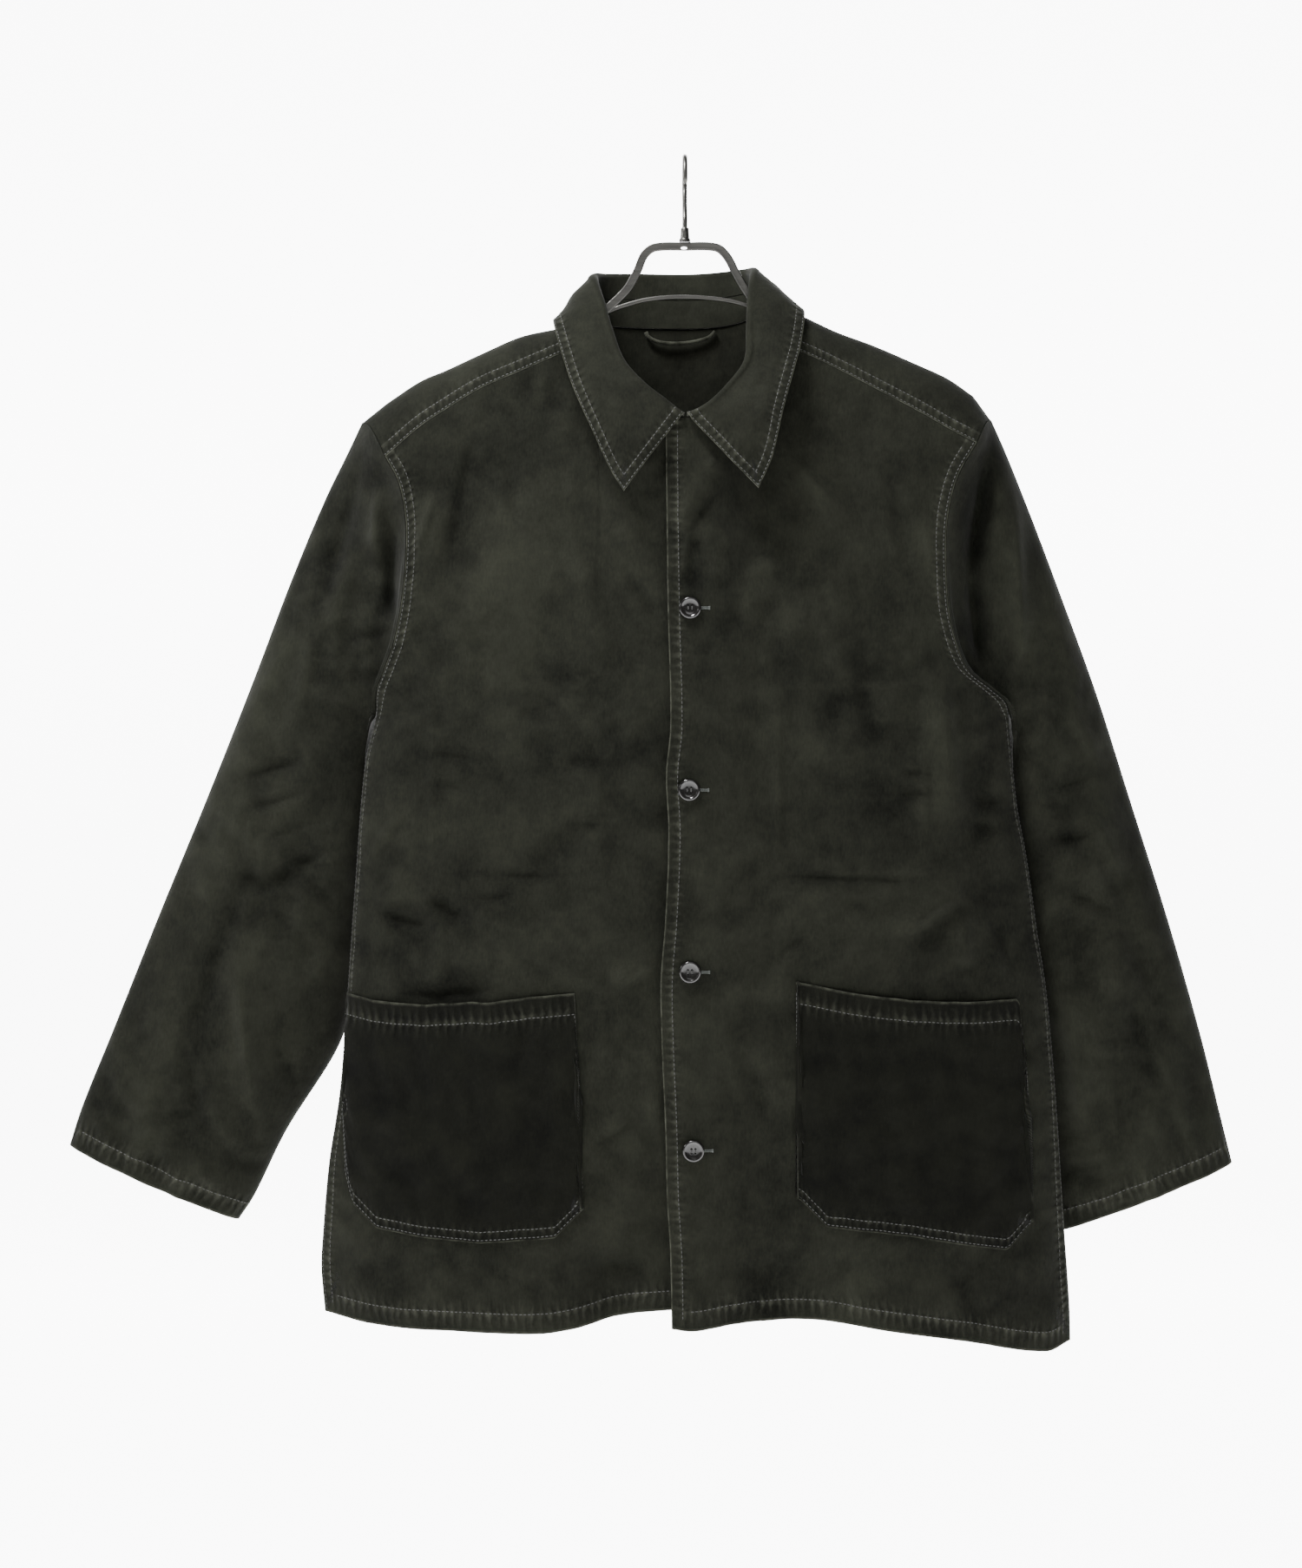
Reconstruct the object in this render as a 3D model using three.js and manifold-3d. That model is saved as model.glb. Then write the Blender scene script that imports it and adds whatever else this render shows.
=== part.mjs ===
import * as THREE from 'three';
import Module from 'manifold-3d';
import { mergeVertices } from 'three/addons/utils/BufferGeometryUtils.js';

// Chore jacket on a flat steel hanger. Millimetres, +Z up, the jacket's front faces -Y and +X is the
// wearer's left. The origin is the underside of the hook's crown, where a rail carries the hanger.

const CLOTH = 1.5;          // thickness of the cotton moleskin
const COLLAR_CLOTH = 2.2;   // two layers of it, with the interlining
const SEAM = 0.3;           // gap between neighbouring pieces
const SLEEVE_GAP = 0.6;     // further gap at the armholes, where three pieces turn together
const OVERLAP = 4;         // the over front lies this far outside the under front at the buttons
const HEM_LEVEL = -915;     // middle level of the hem
const UNDERARM = -441.6;    // level of the underarm points

const { PI, sin, cos, abs, min, max, hypot, exp, sqrt, sign } = Math;
const table = (names, rows) => rows.map((row) =>
  Object.fromEntries(names.split(' ').map((name, i) => [name, row[i]])));
const mix = (a, b, t) => a + (b - a) * t;
const clamp = (t) => min(1, max(0, t));
const ease = (a, b, t) => {
  const s = clamp((t - a) / (b - a));
  return s * s * (3 - 2 * s);
};
const add = (p, q, k = 1) => p.map((value, i) => value + q[i] * k);

// Reads a column of a table at a place between its rows, with smooth slopes.
function read(rows, key, at, column) {
  const last = rows.length - 1;
  const rising = sign(rows[last][key] - rows[0][key]);
  let i = 0;
  while (i < last - 1 && (at - rows[i + 1][key]) * rising > 0) i += 1;
  const slope = (k) => {
    const a = rows[max(0, k - 1)];
    const b = rows[min(last, k + 1)];
    return (b[column] - a[column]) / (b[key] - a[key]);
  };
  const [p, q] = [rows[i], rows[i + 1]];
  const span = q[key] - p[key];
  const t = clamp((at - p[key]) / span);
  const [t2, t3] = [t * t, t * t * t];
  return p[column] * (2 * t3 - 3 * t2 + 1) + q[column] * (3 * t2 - 2 * t3)
    + span * (slope(i) * (t3 - 2 * t2 + t) + slope(i + 1) * (t3 - t2));
}

// The side seams, read by height.
const sideSeam = {
  right: table('z x', [
    [-915, -286], [-880, -289], [-853, -287.7], [-798, -283], [-743, -274.6], [-687, -269.8],
    [-577, -262], [-480, -254], [-441.6, -245]]),
  left: table('z x', [
    [-938, 306.5], [-908, 305.7], [-838, 300.8], [-743, 294.5], [-660, 287], [-613, 279.8],
    [-558, 272], [-507, 263], [-441.6, 257.4]]),
};

// The armholes, from the underarm up the front to the shoulder point; out is forward of the crest.
const armhole = {
  right: table('part x z out', [
    [0, -245, -441.6, 0], [0.09, -243.5, -423, 13], [0.18, -237, -406, 21], [0.3, -228.6, -383.7, 27],
    [0.45, -222.6, -352, 29], [0.6, -219.4, -318, 29], [0.74, -219.5, -288, 28], [0.86, -225, -260, 26],
    [1, -236, -238.6, 22]]),
  left: table('part x z out', [
    [0, 257.4, -441.6, 0], [0.09, 253, -431, 11], [0.18, 240.5, -421, 19], [0.3, 221, -405, 26],
    [0.45, 208, -368, 30], [0.6, 204.5, -326, 30], [0.74, 206, -287, 28], [0.86, 214, -255, 25],
    [1, 229.3, -227.7, 22]]),
};

// The shoulders, read outward from the neck: the crest that lies on the hanger, and below it on the
// front the felled seam that joins back to front.
const shoulder = {
  right: table('x crest seam out', [
    [-80, -128, -149, 21], [-99, -134, -158, 24], [-131, -141, -172, 24], [-161, -154, -185, 24],
    [-189, -167, -202, 24], [-210, -176, -216, 23], [-236, -193, -238.6, 22]]),
  left: table('x crest seam out', [
    [66, -114, -146, 21], [94, -125, -157.6, 24], [120, -137, -170, 24], [150, -148, -185.6, 24],
    [185, -163, -204, 24], [209, -174, -217.5, 23], [229.3, -188, -227.7, 22]]),
};
const shoulderPoint = { right: [-256, 0, -209], left: [243, 0, -207] };
const neckSide = { right: [-80, 0, -128], left: [66, 0, -114] };

// Hems, read from the middle outward.
const hem = {
  right: table('x z out', [
    [20, -908, 32], [-17, -908.8, 32], [-54, -912.5, 34], [-84, -920.5, 42], [-115, -924.8, 44],
    [-176, -924, 38], [-238, -921.8, 25], [-286, -915, 0]]),
  left: table('x z out', [
    [-12, -920, 44], [7, -922, 44], [37, -917.5, 40], [99, -914.9, 36], [159, -923.6, 40],
    [221, -932.5, 36], [285, -944, 16], [306.5, -938, 0]]),
};

// The front edges, read by height, and how far the middle of the front stands out.
const frontEdge = {
  right: table('z x out', [
    [-908, 20, 32], [-840, 20, 42], [-700, 20, 44], [-500, 20, 46], [-360, 20, 48], [-212, 20, 49]]),
  left: table('z x out', [
    [-920, -11, 44], [-863, -12, 44], [-818, -14.7, 44], [-764, -16, 45], [-697, -18.8, 45],
    [-648, -19.5, 46], [-602, -16, 46], [-534.6, -13.4, 47], [-489, -15.4, 47.5], [-451, -12, 48],
    [-359, -14, 49], [-239, -15.5, 50], [-212, -15.5, 50]]),
};
const NECK_FRONT = -212;    // level of the neck seam at the middle front
const NECK_BACK = -128.5;   // and at the middle back
const NECK_FLAT = 21;       // half width of the level stretch of the neck seam in front
const BACK_DEPTH = 43;      // how far the back stands behind the crest

// Sleeves, from the armhole to the cuff: the outer and the inner edge of the flat tube, its half
// depth and how far its middle hangs back.
const sleeve = {
  right: table('part outX outZ inX inZ half back', [
    [0, -256, -209, -245, -441.6, 29, 0], [0.06, -269, -232, -247, -462, 27, 13],
    [0.14, -288, -268, -248, -488, 28, 22], [0.25, -315, -331, -250, -528, 31, 27],
    [0.4, -349, -420, -258, -588, 33, 28], [0.55, -385, -510, -265, -651, 32, 30],
    [0.7, -422, -600, -277, -705, 31, 30], [0.85, -459, -693, -320, -775, 29, 29],
    [0.95, -484, -755, -345, -826, 27, 28], [1, -494, -786, -358, -846, 25, 28]]),
  left: table('part outX outZ inX inZ half back', [
    [0, 243, -207, 257.4, -441.6, 29, 0], [0.06, 256, -231, 256, -462, 27, 13],
    [0.14, 272, -267, 257, -490, 28, 22], [0.25, 297, -331, 260, -533, 31, 27],
    [0.4, 330, -421, 268, -600, 33, 28], [0.55, 359, -511, 278, -668, 32, 30],
    [0.7, 389, -606, 285, -733, 31, 30], [0.85, 416, -702, 290, -795, 29, 29],
    [0.95, 432, -768, 296, -838, 27, 28], [1, 440, -800, 300, -855, 25, 28]]),
};

// The largest folds: from one end to the other on a panel, half width, and height out of the cloth.
const folds = table('panel x1 z1 x2 z2 wide high', [
  ['front_right', -188, -272, -204, -330, 16, 4], ['front_right', -152, -240, -180, -315, 15, -4],
  ['front_right', -130, -280, -142, -380, 22, 3], ['front_right', -186, -475, -120, -498, 13, -3.5],
  ['front_right', -196, -582, -172, -604, 11, -4], ['front_right', -236, -597, -200, -608, 11, -4],
  ['front_right', -120, -565, -78, -530, 12, -3.5], ['front_right', -215, -663, -150, -655, 10, -3.5],
  ['front_right', -56, -650, -24, -630, 12, 3], ['front_right', -70, -860, -62, -912, 22, -5],
  ['front_left', 10, -260, -4, -300, 10, 5], ['front_left', 8, -300, 0, -345, 9, -2.5],
  ['front_left', 198, -410, 206, -520, 11, 5], ['front_left', 226, -470, 232, -560, 12, -4],
  ['front_left', 160, -610, 212, -578, 11, 4], ['front_left', 84, -245, 122, -290, 10, 3],
  ['front_left', 216, -600, 217, -640, 10, 4], ['front_left', 120, -330, 110, -400, 24, 3],
  ['front_left', 64, -860, 70, -915, 24, -5], ['front_left', 150, -470, 175, -560, 20, -3],
  ['back', -150, -230, -60, -330, 20, -4], ['back', 140, -225, 70, -340, 22, -4],
  ['back', -210, -430, -130, -470, 16, -4], ['back', 215, -445, 150, -500, 15, -4],
  ['back', -60, -480, -75, -820, 34, 5], ['back', 95, -520, 120, -890, 36, 5],
  ['back', 10, -600, 20, -905, 30, -5], ['back', -190, -650, -210, -900, 28, -4],
  ['sleeve_right', -262, -225, -288, -350, 15, -6], ['sleeve_right', -240, -262, -246, -315, 9, 5],
  ['sleeve_right', -300, -480, -355, -500, 14, -4], ['sleeve_right', -290, -560, -345, -590, 13, -4],
  ['sleeve_right', -352, -620, -338, -780, 14, 5], ['sleeve_right', -330, -420, -380, -600, 22, 4],
  ['sleeve_left', 241, -215, 222, -330, 11, -6], ['sleeve_left', 222, -330, 232, -400, 10, -5],
  ['sleeve_left', 256, -265, 266, -395, 13, 5], ['sleeve_left', 318, -505, 345, -560, 14, 4],
  ['sleeve_left', 290, -600, 325, -620, 13, -4], ['sleeve_left', 300, -640, 315, -770, 14, 5],
]);

// Height of the folds of one panel at a place on it.
function foldHeight(panel, x, z) {
  let height = 0;
  for (const fold of folds) {
    if (fold.panel !== panel) continue;
    const [dx, dz] = [fold.x2 - fold.x1, fold.z2 - fold.z1];
    const length = hypot(dx, dz);
    const along = ((x - fold.x1) * dx + (z - fold.z1) * dz) / (length * length);
    const across = ((x - fold.x1) * dz - (z - fold.z1) * dx) / length;
    if (along <= -0.15 || along >= 1.15) continue;
    const fade = ease(-0.15, 0.35, along) * ease(1.15, 0.65, along);
    height += fold.high * fade * exp(-((across / fold.wide) ** 2));
  }
  return height;
}

// Places across a panel, 0 at the middle and 1 at the side, closer together at the rounded side fold.
const SIDE_STEPS = [0, 2.5, 8, 18, 34];
function acrossSteps(neck, width, inner, outer) {
  const steps = [];
  for (let i = 0; i < inner; i += 1) {
    steps.push(neck * i / inner);
  }
  const end = 1 - SIDE_STEPS.at(-1) / width;
  for (let i = 0; i < outer; i += 1) {
    steps.push(mix(neck, end, i / outer));
  }
  return steps.concat(SIDE_STEPS.map((step) => 1 - step / width).reverse());
}

const ROWS_LOW = 13;        // rows from the hem to the underarm
const ROWS_HIGH = 9;        // rows from the underarm to the shoulder seam
const ROWS_CREST = 3;       // rows from the seam over to the crest
const WIDTH = 262;          // half width of the body along its cloth
const NECK_AT = { right: 0.37, left: 0.36 };
const ACROSS = {
  right: acrossSteps(NECK_AT.right, WIDTH, 5, 6),
  left: acrossSteps(NECK_AT.left, WIDTH, 5, 6),
};

// Level of a row of a panel: even steps below the underarm, even parts of the armhole above it.
const rowPart = (row) => (row <= ROWS_LOW ? row / ROWS_LOW : 1 + (row - ROWS_LOW) / ROWS_HIGH);

// The side edge of the body at a row: the side seam, then the armhole.
function sidePoint(side, part, out) {
  if (part <= 1) {
    const bottom = sideSeam[side][0].z;
    const z = mix(bottom, UNDERARM, part);
    return [read(sideSeam[side], 'z', z, 'x'), 0, z];
  }
  const at = (column) => read(armhole[side], 'part', part - 1, column);
  return [at('x'), out * at('out'), at('z')];
}

// The line where the front meets the back's shoulder part: the neck seam, then the felled seam.
function frontTop(side, u, x) {
  const neck = NECK_AT[side];
  const first = shoulder[side][0];
  if (u < neck) {
    const t = clamp((abs(x) - NECK_FLAT) / (abs(first.x) - NECK_FLAT));
    const level = NECK_FRONT + (first.seam - NECK_FRONT) * (1 - sqrt(1 - t ** 2.2 * 0.97));
    return [x, mix(-49.5, -first.out, t ** 1.5), mix(level, mix(NECK_FRONT, first.seam, t), 0.25)];
  }
  return [x, -read(shoulder[side], 'x', x, 'out'), read(shoulder[side], 'x', x, 'seam')];
}

// How round the body is across a row: a full fold at the side seam, flatter along the armhole.
function lens(u, part) {
  return (1 - u ** 2.6) ** mix(0.5, 0.95, ease(0.92, 1.25, part));
}

// A point of a front, u from its front edge to its side and part up it, before the folds.
function frontForm(side, u, part) {
  const edge = frontEdge[side];
  const low = clamp(part);
  const high = clamp(part - 1);
  const zEdge = part <= 1 ? mix(edge[0].z, UNDERARM, low) : mix(UNDERARM, NECK_FRONT, high);
  const xEdge = read(edge, 'z', zEdge, 'x');
  const end = sidePoint(side, part, -1);
  if (u === 1) return end;
  const x = mix(xEdge, end[0], u);
  const xHem = mix(edge[0].x, sideSeam[side][0].x, u);
  let z = mix(zEdge, end[2], u);
  const hemBase = mix(edge[0].z, sideSeam[side][0].z, u);
  z += (read(hem[side], 'x', xHem, 'z') - hemBase) * ease(0.45, 0, low);
  const middle = read(edge, 'z', zEdge, 'out');
  let y = mix(end[1], -middle, lens(u, part));
  y = mix(y, -read(hem[side], 'x', xHem, 'out'), ease(0.5, 0, low));
  const topEnd = sidePoint(side, 2, -1)[0];
  const top = frontTop(side, u, mix(read(edge, 'z', NECK_FRONT, 'x'), topEnd, u));
  const topBase = mix(NECK_FRONT, sidePoint(side, 2, -1)[2], u);
  z += (top[2] - topBase) * high;
  y += (top[1] - mix(sidePoint(side, 2, -1)[1], -49, lens(u, 2))) * ease(0.25, 1, high);
  if (side === 'left') y -= OVERLAP * ease(58, 26, x);
  return [x, y, z];
}

// The shoulder's crest over the hanger, and the neck seam behind the neck.
function crestPoint(side, u, xTop) {
  const neck = NECK_AT[side];
  const start = neckSide[side];
  if (u < neck) {
    const angle = (1 - u / neck) * PI / 2;
    const depth = BACK_DEPTH * sin(angle) ** 0.85;
    return [start[0] * cos(angle) ** 0.9, depth, mix(start[2], NECK_BACK, sin(angle))];
  }
  const t = (u - neck) / (1 - neck);
  const end = shoulderPoint[side];
  const x = mix(start[0], end[0], t);
  const seamEnd = shoulder[side].at(-1);
  const z = abs(x) < abs(seamEnd.x) ? read(shoulder[side], 'x', x, 'crest')
    : mix(seamEnd.crest, end[2], (x - seamEnd.x) / (end[0] - seamEnd.x));
  return [x, 0, z];
}

// From the shoulder line up to the crest, rounding over the hanger: t is 0 at the line, 1 at the crest.
function overCrest(line, crest, t) {
  const angle = t * PI / 2;
  return [mix(line[0], crest[0], t), mix(line[1], crest[1], 1 - cos(angle)),
    mix(line[2], crest[2], sin(angle))];
}

// The front part of the back panel, between the felled seam and the crest.
function shoulderForm(side, u, t) {
  return overCrest(frontForm(side, u, 2), crestPoint(side, u), t);
}

// A point of the back: part 0 to 1 below the underarm, to 2 at the shoulder, then over to the crest.
function backForm(side, u, part) {
  const crest = crestPoint(side, u);
  const seamEnd = sidePoint(side, 2, 1);
  const low = clamp(part);
  const high = clamp(part - 1);
  const end = sidePoint(side, min(part, 2), 1);
  const middleLevel = part <= 1 ? mix(HEM_LEVEL, UNDERARM, low) : mix(UNDERARM, NECK_BACK - 34, high);
  const x = mix(mix(0, end[0], u), mix(crest[0], seamEnd[0], u ** 6), ease(0.5, 1, high));
  const line = crest[2] - mix(32, crest[2] - seamEnd[2], ease(0.75, 1, u));
  const z = mix(mix(middleLevel, end[2], u), line, ease(0, 1, high) ** 1.3);
  const deep = BACK_DEPTH * mix(0.86, 1, ease(0, 0.5, low));
  let y = mix(end[1], deep, lens(u, part));
  const top = u < NECK_AT[side] ? max(24, crest[1] + 1) : 24;
  y = mix(y, mix(top, end[1], u ** 6), ease(0.45, 1, high));
  const point = [u === 1 ? end[0] : x, y, u === 1 ? end[2] : z];
  return part <= 2 ? point : overCrest(point, crest, part - 2);
}

// Grids of points, one list of points a row. Neighbouring grids share the points of their seams.
const fold = (panel, point, direction) => {
  const height = foldHeight(panel, point[0], point[2]);
  return [point[0], point[1] + direction * height, point[2]];
};
const FRONT_ROWS = ROWS_LOW + ROWS_HIGH;

function frontGrid(side) {
  const rows = [];
  for (let row = 0; row <= FRONT_ROWS; row += 1) {
    rows.push(ACROSS[side].map((u) => {
      const point = frontForm(side, u, rowPart(row));
      return u < 1 && row < FRONT_ROWS ? fold(`front_${side}`, point, -1) : point;
    }));
  }
  return rows;
}

function shoulderGrid(side) {
  const columns = ACROSS[side].filter((u) => u >= NECK_AT[side]);
  const rows = [];
  for (let row = 0; row <= ROWS_CREST; row += 1) {
    rows.push(columns.map((u) => shoulderForm(side, u, row / ROWS_CREST)));
  }
  return rows;
}

function backGrid(side) {
  const rows = [];
  for (let row = 0; row <= FRONT_ROWS + ROWS_CREST; row += 1) {
    const part = row <= FRONT_ROWS ? rowPart(row) : 2 + (row - FRONT_ROWS) / ROWS_CREST;
    rows.push(ACROSS[side].map((u) => {
      const point = backForm(side, u, part);
      return u < 1 && row < FRONT_ROWS ? fold('back', point, 1) : point;
    }));
  }
  return rows;
}

const body = {};
for (const side of ['right', 'left']) {
  body[side] = { front: frontGrid(side), shoulder: shoulderGrid(side), back: backGrid(side) };
}

// The sleeve's first ring is the armhole: down the front from the shoulder point, up the back.
function armholeLoop(side) {
  const { front, shoulder: crest, back } = body[side];
  const ends = (rows) => rows.map((row) => row.at(-1));
  const down = ends(crest).reverse().concat(ends(front.slice(ROWS_LOW)).reverse().slice(1));
  const up = ends(back.slice(ROWS_LOW + 1));
  return down.concat(up);
}

const RINGS = [0, 0.025, 0.06, 0.1, 0.145, 0.19, 0.24, 0.29, 0.34, 0.39, 0.44, 0.49, 0.54, 0.59,
  0.64, 0.69, 0.74, 0.79, 0.84, 0.89, 0.94, 0.975, 1];

// Keeps a point of a sleeve outside the body's edge, or behind its rounded side fold.
const FOLD_RADIUS = 9.4;
const SLEEVE_CLEAR = 8;
function outsideBody(side, [x, y, z], part) {
  const high = z > UNDERARM;
  const edge = high ? read(armhole[side], 'z', z, 'x') : read(sideSeam[side], 'z', z, 'x');
  const room = max(0, y) ** 2 / (2 * FOLD_RADIUS) * 0.7 * ease(UNDERARM + 10, UNDERARM - 70, z);
  const clear = SLEEVE_CLEAR * ease(0, 0.02, part) * mix(1, 0.3, ease(0.1, 0.22, part));
  const wide = abs(edge) + clear - room;
  return [sign(edge) * max(abs(x), wide), y, z];
}

// A point of a sleeve: part along it, turn round it from the outer edge over the front.
function sleeveForm(side, part, turn) {
  const at = (column) => read(sleeve[side], 'part', part, column);
  const out = cos(turn);
  const across = (1 + out) / 2;
  return [mix(at('inX'), at('outX'), across), at('back') - at('half') * sin(turn),
    mix(at('inZ'), at('outZ'), across)];
}

function sleeveGrid(side) {
  const loop = armholeLoop(side);
  const count = loop.length - 1;
  const bottom = FRONT_ROWS - ROWS_LOW + ROWS_CREST;
  const turns = loop.map((_, i) => (i <= bottom ? PI * i / bottom
    : PI + PI * (i - bottom) / (count - bottom)));
  const panel = `sleeve_${side}`;
  return RINGS.map((part) => turns.map((turn, i) => {
    const form = sleeveForm(side, part, turn);
    const start = sleeveForm(side, 0, turn);
    const hold = (1 - ease(0, 0.2, part)) ** 1.2;
    const point = add(form, add(loop[i], start, -1), hold);
    if (part === 0) return point;
    const facing = -sin(turn);
    const height = foldHeight(panel, point[0], point[2]) * (facing < 0 ? 1 : 0.7);
    return outsideBody(side, [point[0], point[1] + facing * height, point[2]], part);
  }));
}

// Adds up the directions of the faces that meet at each point, over all sheets that touch there.
const keyOf = (point) => point.map((value) => Math.round(value * 20)).join(' ');
function facesOf({ rows, flip }) {
  const faces = [];
  for (let j = 0; j < rows.length - 1; j += 1) {
    for (let i = 0; i < rows[j].length - 1; i += 1) {
      const [a, b, c, d] = [rows[j][i], rows[j][i + 1], rows[j + 1][i + 1], rows[j + 1][i]];
      const halves = (i + j) % 2 ? [[a, b, c], [a, c, d]] : [[a, b, d], [b, c, d]];
      for (const half of halves) faces.push(flip ? [...half].reverse() : half);
    }
  }
  return faces;
}
const cross = (a, b) => [a[1] * b[2] - a[2] * b[1], a[2] * b[0] - a[0] * b[2],
  a[0] * b[1] - a[1] * b[0]];
const unit = (a) => {
  const length = hypot(...a) || 1;
  return a.map((value) => value / length);
};
function gather(sheets) {
  const directions = new Map();
  for (const sheet of sheets) {
    for (const face of facesOf(sheet)) {
      const normal = cross(add(face[1], face[0], -1), add(face[2], face[0], -1));
      if (hypot(...normal) < 1e-6) continue;
      for (const point of face) {
        const key = keyOf(point);
        directions.set(key, add(directions.get(key) ?? [0, 0, 0], unit(normal), 1));
      }
    }
  }
  return directions;
}

// A wall of cloth under the sheets: outer points, inner points below them, and a rim round each edge,
// drawn back by half a seam gap. Lift moves the whole wall out, for what lies on a panel.
function wall(sheets, directions, thickness, lift = () => 0) {
  const index = new Map();
  const points = [];
  const triangles = [];
  for (const sheet of sheets) {
    for (const face of facesOf(sheet)) {
      const corners = face.map((point) => {
        const key = keyOf(point);
        if (!index.has(key)) {
          index.set(key, points.length);
          points.push({ at: point, key });
        }
        return index.get(key);
      });
      if (new Set(corners).size === 3) triangles.push(corners);
    }
  }
  const edges = new Set();
  for (const [a, b, c] of triangles) {
    for (const edge of [[a, b], [b, c], [c, a]]) {
      edges.add(edge.join());
    }
  }
  const after = new Map();
  const before = new Map();
  for (const edge of edges) {
    const [a, b] = edge.split(',').map(Number);
    if (edges.has(`${b},${a}`)) continue;
    after.set(a, b);
    before.set(b, a);
  }
  const outer = points.map(({ at, key }, i) => {
    const normal = unit(directions.get(key));
    let place = add(at, normal, lift(at));
    if (after.has(i)) {
      const along = add(points[after.get(i)].at, points[before.get(i)].at, -1);
      place = add(place, unit(cross(normal, along)), SEAM / 2);
    }
    return { place, under: add(place, normal, -thickness) };
  });
  const count = points.length;
  const all = outer.map((point) => point.place).concat(outer.map((point) => point.under));
  const faces = triangles.flatMap(([a, b, c]) => [[a, b, c], [a + count, c + count, b + count]]);
  for (const [a, b] of after) faces.push([a, b + count, b], [a, a + count, b + count]);
  return shape(all, faces);
}

function shape(points, faces) {
  const geometry = new THREE.BufferGeometry();
  geometry.setAttribute('position', new THREE.Float32BufferAttribute(points.flat(), 3));
  geometry.setIndex(faces.flat());
  return geometry;
}

// The collar, from its right end at the middle front round the neck to its left end: where it folds
// over, its outer edge, and the half width of the rolled fold.
const collar = table('part foldX foldY foldZ edgeX edgeY edgeZ roll', [
  [0, -1, -58.5, -208.5, -48, -64, -270, 3], [0.05, -16, -55, -196.5, -58.5, -62, -253, 3],
  [0.1, -31, -49.5, -184, -72, -57, -223.5, 3.2], [0.15, -46.6, -39, -165, -88, -47, -187, 3.6],
  [0.2, -55.5, -27, -140, -98.5, -34, -154, 4], [0.25, -61, -16, -120.5, -104, -17, -133, 4.2],
  [0.3, -67, -2, -98, -104, 3, -127, 4.4], [0.35, -68, 14, -88, -98, 25, -130, 4.6],
  [0.4, -58, 32, -84, -80, 46, -136, 4.6], [0.45, -34, 43, -82, -44, 60, -139, 4.6],
  [0.5, 0, 46, -82, 0, 64, -140, 4.6], [0.55, 28, 42, -81, 38, 59, -136, 4.6],
  [0.6, 46, 30, -81, 64, 45, -130, 4.6], [0.65, 50, 13, -85, 84, 25, -122, 4.6],
  [0.7, 50, -2, -94, 92, 4, -119, 4.4], [0.75, 48.5, -14, -109, 94.5, -17, -125, 4.2],
  [0.8, 46.5, -27, -140, 90.5, -34, -152, 4], [0.85, 45, -38, -165, 84, -47, -176, 3.6],
  [0.9, 31, -49.5, -186, 75.5, -58, -207, 3.2], [0.95, 15, -56.5, -201.5, 67, -65, -243, 3.8],
  [1, 1, -60.5, -208.5, 56, -68, -268, 4]]);
const STAND = 31;           // height of the collar's stand at the back
const STAND_ABOVE = 0.7;    // the stand starts this far above the neck edge
const LEAF_BOW = 3;         // how far the leaf bows out between its fold and its edge

// The neck edge of the body, from the front edge round to the middle back.
function neckEdge(side) {
  const { front, shoulder: crest, back } = body[side];
  const top = front.at(-1);
  const crestNeck = crest.map((row) => row[0]);
  const behind = back.at(-1).slice(0, ACROSS[side].findIndex((u) => u >= NECK_AT[side]) + 1);
  const start = side === 'right' ? -3 : 3;
  const first = top.findIndex((point) => (point[0] - start) * sign(start) > 0);
  const [p, q] = [top[first - 1], top[first]];
  const cut = add(p, add(q, p, -1), (start - p[0]) / (q[0] - p[0]));
  const ahead = top.slice(first, ACROSS[side].findIndex((u) => u >= NECK_AT[side]) + 1);
  return [cut, ...ahead, ...crestNeck.slice(1), ...behind.reverse().slice(1)];
}
const neckPoints = [...neckEdge('right'), ...neckEdge('left').reverse().slice(1)];
const neckLengths = [0];
for (let i = 1; i < neckPoints.length; i += 1) {
  neckLengths.push(neckLengths[i - 1] + hypot(...add(neckPoints[i], neckPoints[i - 1], -1)));
}

const stations = neckPoints.map((seam, i) => {
  const part = neckLengths[i] / neckLengths.at(-1);
  const at = (names, where) => names.split(' ').map((name) => read(collar, 'part', where, name));
  const folded = at('foldX foldY foldZ', part);
  const ahead = at('foldX foldY foldZ', min(1, part + 0.02));
  const along = add(ahead, at('foldX foldY foldZ', max(0, part - 0.02)), -1);
  const [roll] = at('roll', part);
  const tall = hypot(...add(folded, seam, -1));
  const rise = unit(add(folded, seam, -1));
  const out = unit(cross(rise, along));
  const within = 2.7 + 0.5 * ease(0.2, 0.1, part) + 1.7 * ease(0.8, 0.9, part);
  const foot = add(add(seam, out, -within), rise, STAND_ABOVE);
  const centre = add(add(folded, rise, -roll), out, roll - within + 2);
  const edge = at('edgeX edgeY edgeZ', part);
  return { roll, rise, out, foot, stand: min(STAND, tall * 0.5), centre, edge };
});
const standTop = ({ foot, centre, out, roll, stand }) => {
  const under = add(centre, out, -roll);
  const reach = hypot(...add(under, foot, -1));
  return add(foot, add(under, foot, -1), min(0.6, stand / reach));
};
const leafStart = (station) => {
  const top = standTop(station);
  const ahead = add(add(station.centre, station.out, -station.roll), top, -1);
  return add(top, unit(ahead), min(SEAM * 3, hypot(...ahead) * 0.7));
};
const standRows = [0, 0.5, 1].map((t) => stations.map((station) =>
  add(station.foot, add(standTop(station), station.foot, -1), t)));
const leafRows = [stations.map(leafStart)];
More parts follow.
